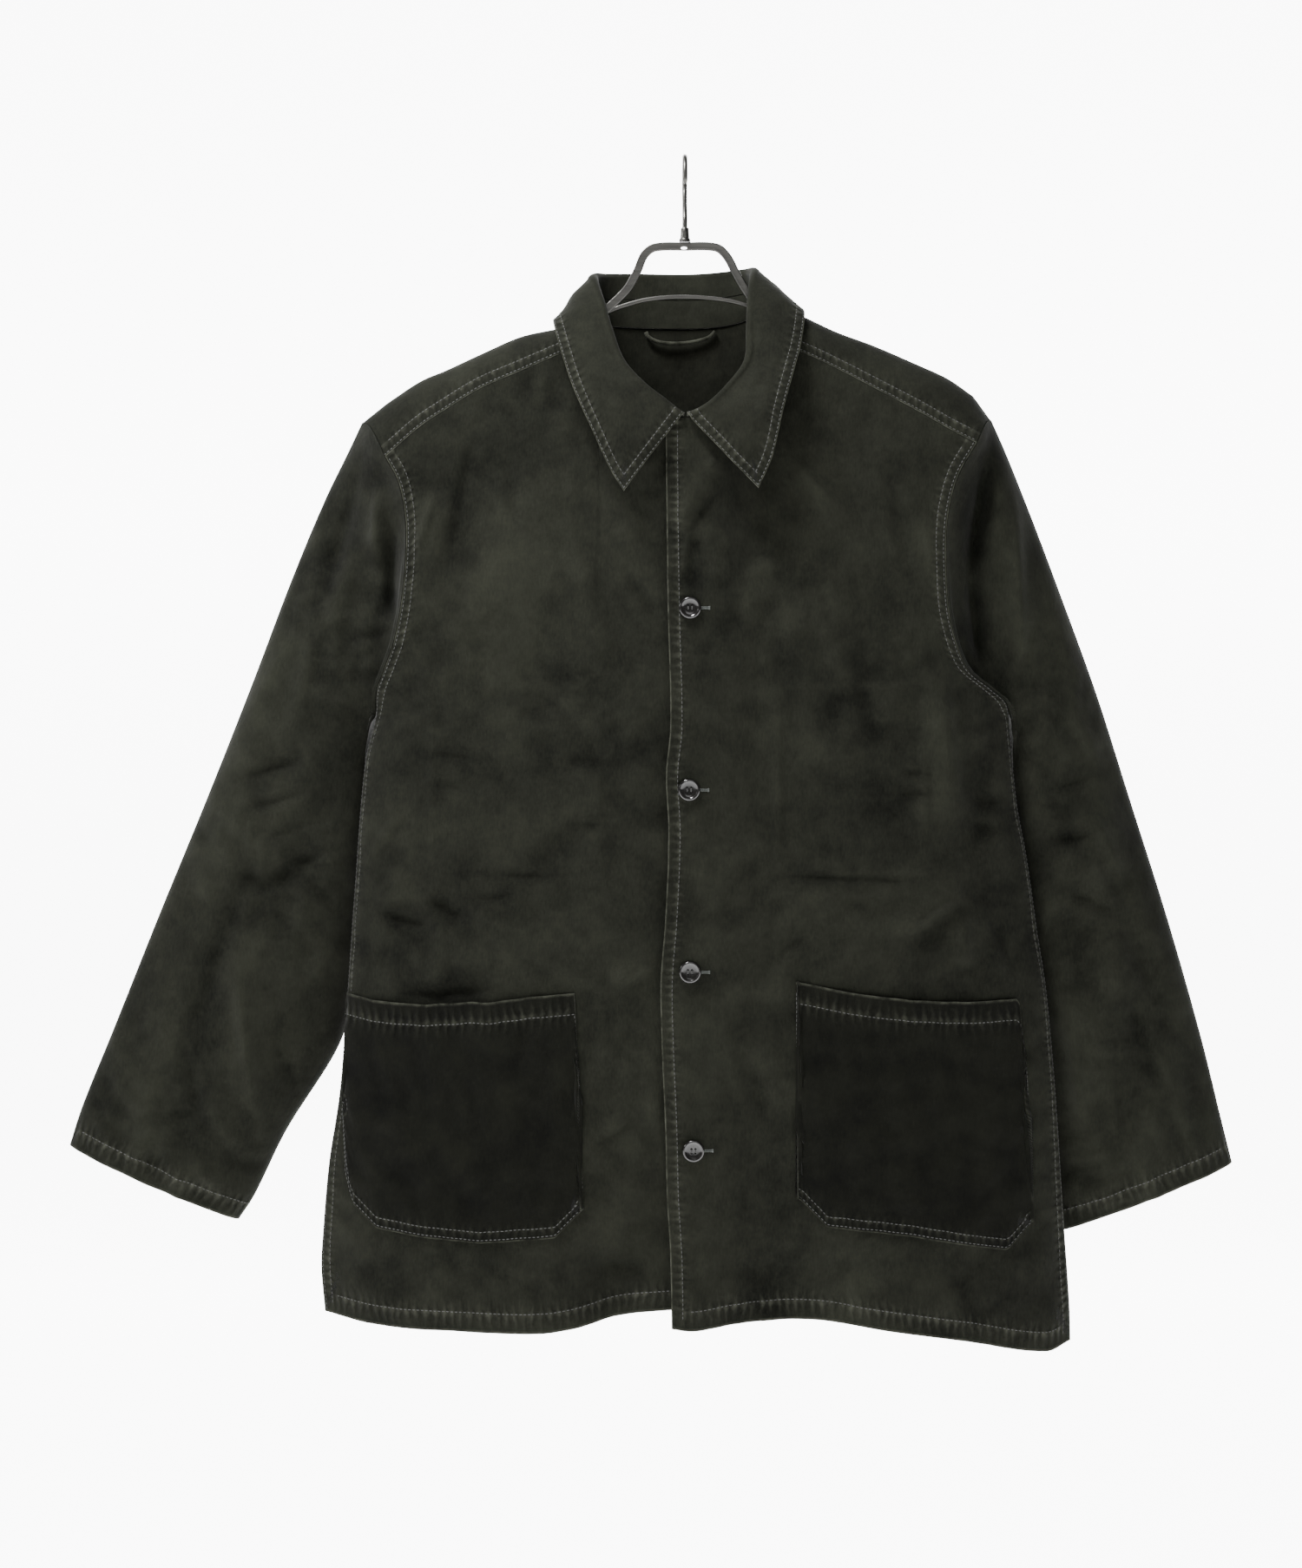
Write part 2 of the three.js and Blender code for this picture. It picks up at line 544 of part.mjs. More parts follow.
for (const angle of [180, 135, 90, 45, 0]) {
  const [along, up] = [cos(angle * PI / 180), sin(angle * PI / 180)];
  leafRows.push(stations.map(({ centre, out, rise, roll }) =>
    add(add(centre, out, along * roll), rise, up * roll)));
}
for (const t of [0.2, 0.4, 0.6, 0.8, 1]) {
  leafRows.push(stations.map(({ centre, out, roll, edge }) => {
    const start = add(centre, out, roll);
    return add(add(start, add(edge, start, -1), t), out, LEAF_BOW * sin(PI * t));
  }));
}

const wasm = await Module();
wasm.setup();
function solid(geometry) {
  const bare = geometry.clone();
  for (const name of ['normal', 'uv']) bare.deleteAttribute(name);
  const merged = mergeVertices(bare);
  return new wasm.Manifold(new wasm.Mesh({
    numProp: 3,
    vertProperties: new Float32Array(merged.attributes.position.array),
    triVerts: new Uint32Array(merged.index.array),
  }));
}
function geometryOf(manifold) {
  const mesh = manifold.getMesh();
  const geometry = new THREE.BufferGeometry();
  geometry.setAttribute('position', new THREE.Float32BufferAttribute(mesh.vertProperties, 3));
  geometry.setIndex(Array.from(mesh.triVerts));
  return geometry;
}

const colours = { cloth: 0x2b2c26, collar: 0x2e2f28, pocket: 0x1e1f1a, button: 0x14120f, steel: 0xb9b7b1 };
const jacket = new THREE.Group();
function place(name, geometry, colour, roughness = 0.95, metalness = 0) {
  const material = new THREE.MeshStandardMaterial({ color: colours[colour], roughness, metalness });
  const mesh = new THREE.Mesh(geometry, material);
  mesh.name = name;
  jacket.add(mesh);
  return mesh;
}

const sheets = {};
for (const side of ['right', 'left']) {
  const flip = side === 'right';
  sheets[`front_${side}`] = { rows: body[side].front, flip };
  sheets[`shoulder_${side}`] = { rows: body[side].shoulder, flip };
  sheets[`back_${side}`] = { rows: body[side].back, flip: !flip };
  sheets[`sleeve_${side}`] = { rows: sleeveGrid(side), flip };
}
const bodyWays = gather(Object.values(sheets));
place('back', wall([sheets.back_right, sheets.back_left, sheets.shoulder_right, sheets.shoulder_left],
  bodyWays, CLOTH), 'cloth');
for (const side of ['right', 'left']) {
  const front = wall([sheets[`front_${side}`]], bodyWays, CLOTH);
  place(`front_${side}`, front, 'cloth');
  const away = side === 'right' ? -SLEEVE_GAP : SLEEVE_GAP;
  const arm = solid(wall([sheets[`sleeve_${side}`]], bodyWays, CLOTH)).translate([away, 0, 0]);
  let trimmed = arm;
  for (const shift of [[0, 0, 0], [sign(away) * SEAM, 0, 0], [0, -SEAM, -SEAM]]) {
    trimmed = trimmed.subtract(solid(front).translate(shift));
  }
  const largest = trimmed.decompose().sort((p, q) => q.volume() - p.volume())[0];
  place(`sleeve_${side}`, geometryOf(largest), 'cloth');
}
for (const [name, rows] of [['collar_stand', standRows], ['collar_leaf', leafRows]]) {
  const sheet = { rows, flip: false };
  place(name, wall([sheet], gather([sheet]), COLLAR_CLOTH), 'collar');
}

// The patch pockets: an outline cut from a wall that follows the front, lifted a little at the mouth.
const pockets = {
  right: { lift: 3, centre: -170, outline: table('x z', [
    [-267, -661.5], [-246, -666], [-203, -669.5], [-155, -667], [-120, -662], [-85, -658.8],
    [-82, -740], [-80.3, -828], [-102, -850], [-160, -854.5], [-205, -851], [-242, -845],
    [-262.5, -826], [-269, -794], [-270, -750]]) },
  left: { lift: 3, centre: 176, outline: table('x z', [
    [86, -650], [102, -653], [129, -658.5], [176, -665], [218, -667], [263, -665], [269, -728],
    [272.5, -841], [252.5, -862], [176, -849.5], [111, -842], [87.5, -818], [86.5, -697]]) },
};
for (const side of ['right', 'left']) {
  const { lift, centre, outline } = pockets[side];
  const rows = body[side].front.slice(2, 12);
  const mouth = outline[0].z;
  const raise = ([x, , z]) => CLOTH + SEAM
    + lift * ease(mouth - 60, mouth + 5, z) * ease(95, 15, abs(x - centre));
  const sheet = { rows, flip: side === 'right' };
  const slab = wall([sheet], bodyWays, CLOTH, raise);
  const patch = new THREE.Shape(outline.map(({ x, z }) => new THREE.Vector2(x, z)));
  const cutter = new THREE.ExtrudeGeometry(patch, { depth: 120, bevelEnabled: false });
  cutter.rotateX(PI / 2);
  place(`pocket_${side}`, geometryOf(solid(slab).intersect(solid(cutter))), 'pocket');
}

// Buttons, lying on the over front.
const BUTTON = { radius: 8.6, thick: 3 };
const buttons = table('x z', [[3.4, -359.5], [2.7, -500.8], [3.4, -642.3], [6.1, -781.3]]);
const { radius, thick } = BUTTON;
const profile = table('r h', [[0, 0], [radius - 1.2, 0], [radius, 0.9], [radius, 2], [radius - 0.8, thick],
  [radius - 2, thick], [radius - 3, thick - 1], [0, thick - 1.2]]);
buttons.forEach(({ x, z }, i) => {
  const disc = new THREE.LatheGeometry(profile.map(({ r, h }) => new THREE.Vector2(r, h)), 16);
  const mesh = place(`button_${i + 1}`, disc, 'button', 0.3);
  const part = (z + 920) / (UNDERARM + 920);
  const rowAt = part <= 1 ? part : 1 + (z - UNDERARM) / (NECK_FRONT - UNDERARM);
  const edge = read(frontEdge.left, 'z', z, 'x');
  const u = (x - edge) / (sidePoint('left', rowAt, -1)[0] - edge);
  const spot = frontForm('left', u, rowAt);
  mesh.rotation.x = PI;
  mesh.position.set(x, spot[1] - SEAM - 0.3, z);
});

// The hanging loop, a cord sewn to the back neck seam.
const loop = table('x y z', [[-31, 37, -131], [-29, 37, -135], [-20, 38, -139], [-6, 38.8, -140],
  [8, 38.8, -138.5], [20, 38, -135], [25, 37.2, -130.5]]);
const cord = new THREE.CatmullRomCurve3(loop.map(({ x, y, z }) => new THREE.Vector3(x, y, z)));
const round = (r, sides) => new THREE.Shape(Array.from({ length: sides }, (_, i) =>
  new THREE.Vector2(r * cos(2 * PI * i / sides), r * sin(2 * PI * i / sides))));
place('hanging_loop', new THREE.ExtrudeGeometry(round(1.6, 8),
  { steps: 18, bevelEnabled: false, extrudePath: cord }), 'cloth');

// The hanger: a flat steel bar bent over the neck, a thinner bar welded across below the arch, and a
// wire hook in a ferrule.
const BAR = { high: 6.5, thick: 3, corner: 0.8 };
const arch = table('x z', [[-73, -130.5], [-63, -119.8], [-46, -103], [-38, -89], [-32, -75.5],
  [-24, -69.8], [0, -69], [25, -69.8], [33.5, -77], [40.5, -90], [49, -104.5], [58.2, -116]]);
const BAR_END = 216;        // the bar ends this far out, inside the sleeve heads
const BAR_BELOW = BAR.high / 2 + CLOTH + 2.2;
function shoulderBar(side) {
  const path = [];
  for (let t = side === 'right' ? 0.07 : 0.05; t < 1; t += 0.075) {
    const [x, , z] = crestPoint(side, mix(NECK_AT[side], 1, t));
    if (abs(x) < BAR_END) path.push({ x, z: z - BAR_BELOW });
  }
  return path;
}
const barPath = [...shoulderBar('right').reverse(), ...arch, ...shoulderBar('left')];
const bracePath = table('x z', [[-64, -122], [-50, -116.5], [-30, -111.2], [-5, -109], [20, -110],
  [40, -113], [55, -117.5], [66, -121]]);

function flatBar(path, high, deep, steps) {
  const line = new THREE.CatmullRomCurve3(path.map(({ x, z }) => new THREE.Vector3(x, 0, z)));
  const c = BAR.corner;
  const [a, b] = [high / 2, deep / 2];
  const section = [[a, b - c], [a - c, b], [c - a, b], [-a, b - c], [-a, c - b], [c - a, -b], [a - c, -b],
    [a, c - b]];
  const count = section.length;
  const points = [];
  const faces = [];
  for (let i = 0; i <= steps; i += 1) {
    const at = line.getPointAt(i / steps);
    const along = line.getTangentAt(i / steps);
    for (const [up, out] of section) points.push([at.x - along.z * up, out, at.z + along.x * up]);
    for (let k = 0; k < count && i > 0; k += 1) {
      const [p, q] = [(i - 1) * count + k, (i - 1) * count + (k + 1) % count];
      faces.push([p, q + count, q], [p, p + count, q + count]);
    }
  }
  for (let k = 1; k < count - 1; k += 1) {
    faces.push([0, k, k + 1], [steps * count, steps * count + k + 1, steps * count + k]);
  }
  return shape(points, faces);
}
const arms = solid(flatBar(barPath, BAR.high, BAR.thick, 48));
const brace = solid(flatBar(bracePath, 3, 2.4, 14));
const FERRULE = { wide: 4.5, narrow: 3.2, bottom: -65.4, top: -54.4 };
place('hanger_bar', geometryOf(arms.add(brace)), 'steel', 0.35, 1);

const ferrule = new THREE.LatheGeometry([[0, FERRULE.bottom], [FERRULE.wide, FERRULE.bottom],
  [FERRULE.wide, FERRULE.bottom + 2.5], [FERRULE.narrow, FERRULE.top], [0, FERRULE.top]]
  .map(([r, h]) => new THREE.Vector2(r, h)), 20);
place('hanger_ferrule', ferrule, 'steel', 0.35, 1).rotation.x = PI / 2;

const HOOK = { wire: 2, radius: 18, centre: -16 };
const crown = (angle) => new THREE.Vector3(0, HOOK.radius * cos(angle * PI / 180),
  HOOK.centre + HOOK.radius * sin(angle * PI / 180));
const hookLine = new THREE.CatmullRomCurve3([new THREE.Vector3(0, 0, FERRULE.top + SEAM),
  new THREE.Vector3(0, 0, -47), new THREE.Vector3(0, 4.5, -39), new THREE.Vector3(0, 11, -31),
  ...[-22, 0, 30, 60, 90, 120, 150, 180, 205].map(crown)], false, 'centripetal');
place('hanger_hook', new THREE.ExtrudeGeometry(round(HOOK.wire, 8),
  { steps: 32, bevelEnabled: false, extrudePath: hookLine }), 'steel', 0.35, 1);

export default jacket;
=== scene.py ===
import math
import bpy
import numpy as np
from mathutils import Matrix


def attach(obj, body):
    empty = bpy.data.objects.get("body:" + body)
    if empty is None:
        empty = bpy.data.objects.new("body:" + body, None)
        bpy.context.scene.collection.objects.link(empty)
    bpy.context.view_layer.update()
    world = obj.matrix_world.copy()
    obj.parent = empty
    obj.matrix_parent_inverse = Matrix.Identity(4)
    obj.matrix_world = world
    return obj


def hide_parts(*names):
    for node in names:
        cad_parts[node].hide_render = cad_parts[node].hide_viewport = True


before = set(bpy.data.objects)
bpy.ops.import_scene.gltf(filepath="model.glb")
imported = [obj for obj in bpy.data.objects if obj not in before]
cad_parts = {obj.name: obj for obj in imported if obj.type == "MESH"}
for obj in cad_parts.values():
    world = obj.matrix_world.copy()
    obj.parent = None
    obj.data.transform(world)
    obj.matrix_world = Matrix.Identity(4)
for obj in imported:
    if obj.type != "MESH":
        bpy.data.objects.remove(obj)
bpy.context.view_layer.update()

# The camera, the white sweep and the lights.
# A level camera a little over two metres in front of the jacket, at the height of its middle,
# with a pale paper sweep well behind it and large soft lights above and beside the camera.
MM = 0.001
PIXEL = 0.69 * MM
FRAME_HIGH = 1806
CAMERA_AWAY = 2.2
CAMERA_X, CAMERA_Z = -26.9 * MM, -496.1 * MM
camera_data = bpy.data.cameras.new("camera")
camera_data.sensor_width = 36
camera_data.lens = 36 * CAMERA_AWAY / (FRAME_HIGH * PIXEL)
camera = bpy.data.objects.new("camera", camera_data)
camera.location = (CAMERA_X, -CAMERA_AWAY, CAMERA_Z)
camera.rotation_euler = (math.radians(90), 0, 0)
bpy.context.scene.collection.objects.link(camera)
bpy.context.scene.camera = camera


def new_object(name, vertices, faces):
    mesh = bpy.data.meshes.new(name)
    mesh.from_pydata(vertices, [], faces)
    mesh.validate()
    mesh.shade_smooth()
    piece = bpy.data.objects.new(name, mesh)
    bpy.context.scene.collection.objects.link(piece)
    return piece


FLOOR_Z = -1.45
SWEEP_Y = 4.6
SWEEP_BEND = 1.6
sweep_line = [(-9, FLOOR_Z), (SWEEP_Y - SWEEP_BEND, FLOOR_Z)]
for step in range(1, 12):
    turn = math.pi / 2 * step / 12
    sweep_line.append((SWEEP_Y - SWEEP_BEND + SWEEP_BEND * math.sin(turn),
                       FLOOR_Z + SWEEP_BEND * (1 - math.cos(turn))))
sweep_line += [(SWEEP_Y, FLOOR_Z + SWEEP_BEND), (SWEEP_Y, 4.5)]
sweep_points = [(x, y, z) for y, z in sweep_line for x in (-7, 7)]
sweep_faces = [(2 * i, 2 * i + 1, 2 * i + 3, 2 * i + 2) for i in range(len(sweep_line) - 1)]
sweep = new_object("sweep", sweep_points, sweep_faces)
paper = bpy.data.materials.new("white paper")
paper.use_nodes = True
paper_shader = paper.node_tree.nodes["Principled BSDF"]
paper_shader.inputs["Base Color"].default_value = (0.9, 0.9, 0.9, 1)
paper_shader.inputs["Roughness"].default_value = 0.9
paper_shader.inputs["Emission Color"].default_value = (1, 1, 1, 1)
paper_shader.inputs["Emission Strength"].default_value = 7.0
sweep.data.materials.append(paper)

world = bpy.data.worlds.new("studio")
bpy.context.scene.world = world
world.use_nodes = True
world.node_tree.nodes["Background"].inputs["Color"].default_value = (1, 1, 1, 1)
world.node_tree.nodes["Background"].inputs["Strength"].default_value = 0.17


def soft_light(name, place, aim, size, power):
    data = bpy.data.lights.new(name, "AREA")
    data.shape = "RECTANGLE"
    data.size, data.size_y = size
    data.energy = power
    lamp = bpy.data.objects.new(name, data)
    lamp.location = place
    way = [a - b for a, b in zip(aim, place)]
    lamp.rotation_euler = (math.atan2(math.hypot(way[0], way[1]), -way[2]), 0,
                           math.atan2(-way[0], way[1]))
    bpy.context.scene.collection.objects.link(lamp)


soft_light("light above", (-0.45, -0.42, 0.85), (0, 0, -0.35), (0.5, 0.2), 92)
soft_light("light left", (-1.9, -0.5, 0.35), (0, 0, -0.4), (0.3, 0.5), 50)
soft_light("light front", (0.2, -2.6, 0.7), (0, 0, -0.2), (1.0, 0.8), 15)


# The fronts and the back.
# Brushed and washed cotton moleskin, 1.5 mm thick, cut as two fronts and one back that reaches over
# the shoulders, joined by flat felled seams; sizes in millimetres, from the hook's crown.
class Wire:
    """A shader socket. Sums and products of wires are made of Math nodes."""

    def __init__(self, tree, socket):
        self.tree, self.socket = tree, socket

    def node(self, kind, settings, inputs, output=0):
        made = self.tree.nodes.new("ShaderNode" + kind)
        for key, value in settings.items():
            setattr(made, key, value)
        for key, value in inputs.items():
            if isinstance(value, Wire):
                self.tree.links.new(value.socket, made.inputs[key])
            else:
                made.inputs[key].default_value = value
        return Wire(self.tree, made.outputs[output])

    def maths(self, operation, a, b=0.0):
        return self.node("Math", {"operation": operation}, {0: a, 1: b})

    def __add__(self, other):
        return self.maths("ADD", self, other)

    def __radd__(self, other):
        return self.maths("ADD", other, self)

    def __sub__(self, other):
        return self.maths("SUBTRACT", self, other)

    def __rsub__(self, other):
        return self.maths("SUBTRACT", other, self)

    def __mul__(self, other):
        return self.maths("MULTIPLY", self, other)

    def __rmul__(self, other):
        return self.maths("MULTIPLY", other, self)

    def step(self, start, end):
        return self.node("MapRange", {"interpolation_type": "SMOOTHSTEP"}, {
            "Value": self, "From Min": start, "From Max": end, "To Min": 0.0, "To Max": 1.0})

    def colours(self, dark, light):
        return self.node("Mix", {"data_type": "RGBA"}, {0: self, 6: (*dark, 1), 7: (*light, 1)}, 2)

    def noise(self, scale, detail=3.0, rough=0.55):
        return self.node("TexNoise", {}, {"Vector": self, "Scale": scale, "Detail": detail,
                                          "Roughness": rough}, "Fac")

    def stretched(self, scale):
        return self.node("Mapping", {}, {"Vector": self, "Scale": scale})

    def field(self, name):
        return self.node("Attribute", {"attribute_name": name}, {}, "Fac")


def new_look(name, **constants):
    """A material and the wire of its object coordinates."""
    look = bpy.data.materials.new(name)
    look.use_nodes = True
    tree = look.node_tree
    shader = tree.nodes["Principled BSDF"]
    for key, value in constants.items():
        shader.inputs[key.replace("_", " ")].default_value = value
    return look, shader, Wire(tree, tree.nodes.new("ShaderNodeTexCoord").outputs["Object"])


def moleskin(name, dark, light, worn):
    """Brushed cotton whose nap is mottled, with puckers and worn ridges along its stitched bands, and
    painted light and shade on its folds.
    """
    look, shader, place = new_look(name, Roughness=0.92, Specular_IOR_Level=0.04, Sheen_Weight=0.015,
                                   Sheen_Roughness=0.45)
    broad = place.noise(10.0, 4.0, 0.6).step(0.32, 0.68)
    patches = place.noise(48.0, 5.0, 0.65).step(0.3, 0.72)
    nap = place.stretched((1.0, 1.0, 0.35)).noise(700.0, 3.0, 0.7)
    fold, run, pucker = (place.field(field) for field in ("fold", "run", "pucker"))
    waves = place.maths("SINE", run * 0.9 + place.noise(42.0) * 11.0)
    band = fold.step(1.12, 0.94)
    ridge = band * fold.step(0.6, 0.95)
    rim = fold.step(0.16, 0.02)
    # The fold-height field added here paints light and shade into the colour: paler on the folds' ridges,
    # darker in their troughs.
    shade = broad * 0.34 + patches * 0.3 + nap * 0.9 - 0.27 + place.field("painted_fold_shading") * 0.24
    base = shade.colours(dark, light)
    wear = place.noise(120.0, 4.0, 0.7).step(0.25, 0.7)
    rub = (ridge * 0.35 + rim * 0.8 + waves * pucker * 0.22) * wear
    rubbed = rub.node("Mix", {"data_type": "RGBA"}, {0: rub, 6: base, 7: (*worn, 1)}, 2)
    tree = look.node_tree
    tree.links.new(rubbed.socket, shader.inputs["Base Color"])
    creases = place.noise(26.0, 4.0, 0.5) * 0.9 + place.noise(90.0, 3.0, 0.55) * 0.35
    height = creases + nap * 0.06 + band * 0.35 + waves * pucker * 0.3
    bump = place.node("Bump", {}, {"Height": height, "Strength": 1.0, "Distance": 0.0016}, "Normal")
    tree.links.new(bump.socket, shader.inputs["Normal"])
    return look


BODY_CLOTH = moleskin("moleskin", (0.0008, 0.00095, 0.0005), (0.0072, 0.0077, 0.0053),
                      (0.028, 0.029, 0.0225))
# The pockets' moleskin is a darker copy of the body's cloth: painted shade.
SHADED_POCKET_CLOTH = moleskin("moleskin pockets painted darker", (0.0002, 0.00026, 0.0001), (0.0026, 0.0028, 0.0017),
                        (0.019, 0.02, 0.015))


def from_edge(grid, edge):
    """How far each point of a grid lies from one of its edges, and how far along that edge."""
    turn = {"first row": lambda g: g, "last row": lambda g: g[::-1],
            "first column": lambda g: g.swapaxes(0, 1), "last column": lambda g: g[:, ::-1].swapaxes(0, 1)}
    back = {"first row": lambda g: g, "last row": lambda g: g[::-1],
            "first column": lambda g: g.swapaxes(0, 1), "last column": lambda g: g.swapaxes(0, 1)[:, ::-1]}
    turned = turn[edge](grid)
    steps = np.linalg.norm(np.diff(turned, axis=0), axis=-1)
    away = np.concatenate([np.zeros((1, turned.shape[1])), np.cumsum(steps, axis=0)])
    run = np.concatenate([[0], np.cumsum(np.linalg.norm(np.diff(turned[0], axis=0), axis=-1))])
    return back[edge](away), back[edge](np.broadcast_to(run, away.shape))


def bands(grid, widths):
    """The fields of a grid's stitched edges: 1 in fold is a band's inner row of stitches."""
    folds, runs = [], []
    for edge, width in widths.items():
        away, run = from_edge(grid, edge)
        folds.append(away / width)
        runs.append(run)
    folds, runs = np.stack(folds), np.stack(runs)
    nearest = folds.argmin(axis=0)
    order = np.sort(folds, axis=0)
    apart = clamp((order[1] - order[0]) * 3) if len(order) > 1 else 1.0
    pucker = np.exp(-((order[0] - 0.85) / 0.5) ** 2) * apart
    return {"fold": np.minimum(order[0], 9), "run": np.take_along_axis(runs, nearest[None], 0)[0],
            "pucker": pucker * np.ones_like(order[0])}


CLOTH = 1.5
OVERLAP = 4
HEM_LEVEL = -915
UNDERARM = -441.6


def table(names, rows):
    return {name: np.array(column) if not isinstance(column[0], str) else column
            for name, column in zip(names.split(), zip(*rows))}


def mix(a, b, t):
    return a + (b - a) * t


def clamp(t):
    return np.clip(t, 0.0, 1.0)


def ease(a, b, t):
    s = clamp((t - a) / (b - a))
    return s * s * (3 - 2 * s)


def read(rows, key, at, column):
    places, values = rows[key], rows[column]
    if places[0] > places[-1]:
        places, values = places[::-1], values[::-1]
    ahead = np.minimum(np.arange(len(places)) + 1, len(places) - 1)
    behind = np.maximum(np.arange(len(places)) - 1, 0)
    slopes = (values[ahead] - values[behind]) / (places[ahead] - places[behind])
    i = np.clip(np.searchsorted(places, at, side="right") - 1, 0, len(places) - 2)
    span = places[i + 1] - places[i]
    t = clamp((at - places[i]) / span)
    t2, t3 = t * t, t * t * t
    return (values[i] * (2 * t3 - 3 * t2 + 1) + values[i + 1] * (3 * t2 - 2 * t3)
            + span * (slopes[i] * (t3 - 2 * t2 + t) + slopes[i + 1] * (t3 - t2)))


SIDE_SEAM = {}
SIDE_SEAM["right"] = table("z x", [
    (-915, -286), (-880, -289), (-853, -287.7), (-798, -283), (-743, -274.6), (-687, -269.8),
    (-577, -262), (-480, -254), (-441.6, -245)])
SIDE_SEAM["left"] = table("z x", [
    (-938, 306.5), (-908, 305.7), (-838, 300.8), (-743, 294.5), (-660, 287), (-613, 279.8),
    (-558, 272), (-507, 263), (-441.6, 257.4)])

ARMHOLE = {}
ARMHOLE["right"] = table("part x z out", [
    (0, -245, -441.6, 0), (0.09, -243.5, -423, 13), (0.18, -237, -406, 21),
    (0.3, -228.6, -383.7, 27), (0.45, -222.6, -352, 29), (0.6, -219.4, -318, 29),
    (0.74, -219.5, -288, 28), (0.86, -225, -260, 26), (1, -236, -238.6, 22)])
ARMHOLE["left"] = table("part x z out", [
    (0, 257.4, -441.6, 0), (0.09, 253, -431, 11), (0.18, 240.5, -421, 19), (0.3, 221, -405, 26),
    (0.45, 208, -368, 30), (0.6, 204.5, -326, 30), (0.74, 206, -287, 28), (0.86, 214, -255, 25),
    (1, 229.3, -227.7, 22)])

SHOULDER = {}
SHOULDER["right"] = table("x crest seam out", [
    (-80, -128, -149, 21), (-99, -134, -158, 24), (-131, -141, -172, 24), (-161, -154, -185, 24),
    (-189, -167, -202, 24), (-210, -176, -216, 23), (-236, -193, -238.6, 22)])
SHOULDER["left"] = table("x crest seam out", [
    (66, -114, -146, 21), (94, -125, -157.6, 24), (120, -137, -170, 24), (150, -148, -185.6, 24),
    (185, -163, -204, 24), (209, -174, -217.5, 23), (229.3, -188, -227.7, 22)])
SHOULDER_POINT = {"right": (-256, 0, -209), "left": (243, 0, -207)}
NECK_SIDE = {"right": (-80, 0, -128), "left": (66, 0, -114)}

HEM = {}
HEM["right"] = table("x z out", [
    (20, -908, 32), (-17, -908.8, 32), (-54, -912.5, 34), (-84, -920.5, 42), (-115, -924.8, 44),
    (-176, -924, 38), (-238, -921.8, 25), (-286, -915, 0)])
HEM["left"] = table("x z out", [
    (-12, -920, 44), (7, -922, 44), (37, -917.5, 40), (99, -914.9, 36), (159, -923.6, 40),
    (221, -932.5, 36), (285, -944, 16), (306.5, -938, 0)])

FRONT_EDGE = {}
FRONT_EDGE["right"] = table("z x out", [
    (-908, 20, 32), (-840, 20, 42), (-700, 20, 44), (-500, 20, 46), (-360, 20, 48), (-212, 20, 49)])
FRONT_EDGE["left"] = table("z x out", [
    (-920, -11, 44), (-863, -12, 44), (-818, -14.7, 44), (-764, -16, 45), (-697, -18.8, 45),
    (-648, -19.5, 46), (-602, -16, 46), (-534.6, -13.4, 47), (-489, -15.4, 47.5), (-451, -12, 48),
    (-359, -14, 49), (-239, -15.5, 50), (-212, -15.5, 50)])
NECK_FRONT = -212
NECK_BACK = -128.5
NECK_FLAT = 21
BACK_DEPTH = 43
NECK_AT = {"right": 0.37, "left": 0.36}

# Each row gives a fold's two ends in x and z, its width and its height.
FOLDS = {
    "front_right": [
        (-188, -272, -204, -330, 16, 4), (-152, -240, -180, -315, 15, -4),
        (-130, -280, -142, -380, 22, 3), (-186, -475, -120, -498, 13, -3.5),
        (-196, -582, -172, -604, 11, -4), (-236, -597, -200, -608, 11, -4),
        (-120, -565, -78, -530, 12, -3.5), (-215, -663, -150, -655, 10, -3.5),
        (-56, -650, -24, -630, 12, 3), (-70, -860, -62, -912, 22, -5)],
    "front_left": [
        (10, -260, -4, -300, 10, 5), (8, -300, 0, -345, 9, -2.5), (198, -410, 206, -520, 11, 5),
        (226, -470, 232, -560, 12, -4), (160, -610, 212, -578, 11, 4), (84, -245, 122, -290, 10, 3),
        (216, -600, 217, -640, 10, 4), (120, -330, 110, -400, 24, 3), (64, -860, 70, -915, 24, -5),
        (150, -470, 175, -560, 20, -3)],
    "back": [
        (-150, -230, -60, -330, 20, -4), (140, -225, 70, -340, 22, -4),
        (-210, -430, -130, -470, 16, -4), (215, -445, 150, -500, 15, -4),
        (-60, -480, -75, -820, 34, 5), (95, -520, 120, -890, 36, 5), (10, -600, 20, -905, 30, -5),
        (-190, -650, -210, -900, 28, -4)],
    "sleeve_right": [
        (-262, -225, -288, -350, 15, -6), (-240, -262, -246, -315, 9, 5),
        (-300, -480, -355, -500, 14, -4), (-290, -560, -345, -590, 13, -4),
        (-352, -620, -338, -780, 14, 5), (-330, -420, -380, -600, 22, 4)],
    "sleeve_left": [
        (241, -215, 222, -330, 11, -6), (222, -330, 232, -400, 10, -5), (256, -265, 266, -395, 13, 5),
        (318, -505, 345, -560, 14, 4), (290, -600, 325, -620, 13, -4), (300, -640, 315, -770, 14, 5)]}


def fold_height(panel, x, z, rows=FOLDS):
    height = np.zeros_like(x)
    for x1, z1, x2, z2, wide, high in rows[panel]:
        dx, dz = x2 - x1, z2 - z1
        length = math.hypot(dx, dz)
        along = ((x - x1) * dx + (z - z1) * dz) / length ** 2
        across = ((x - x1) * dz - (z - z1) * dx) / length
        fade = ease(-0.15, 0.35, along) * ease(1.15, 0.65, along)
        height += high * fade * np.exp(-(across / wide) ** 2)
    return height


def side_point(side, part, out):
    part = np.asarray(part, float)
    z_low = mix(SIDE_SEAM[side]["z"][0], UNDERARM, clamp(part))
    high = part > 1
    turn = clamp(part - 1)
    x = np.where(high, read(ARMHOLE[side], "part", turn, "x"), read(SIDE_SEAM[side], "z", z_low, "x"))
    y = np.where(high, out * read(ARMHOLE[side], "part", turn, "out"), 0.0)
    z = np.where(high, read(ARMHOLE[side], "part", turn, "z"), z_low)
    return x, y, z


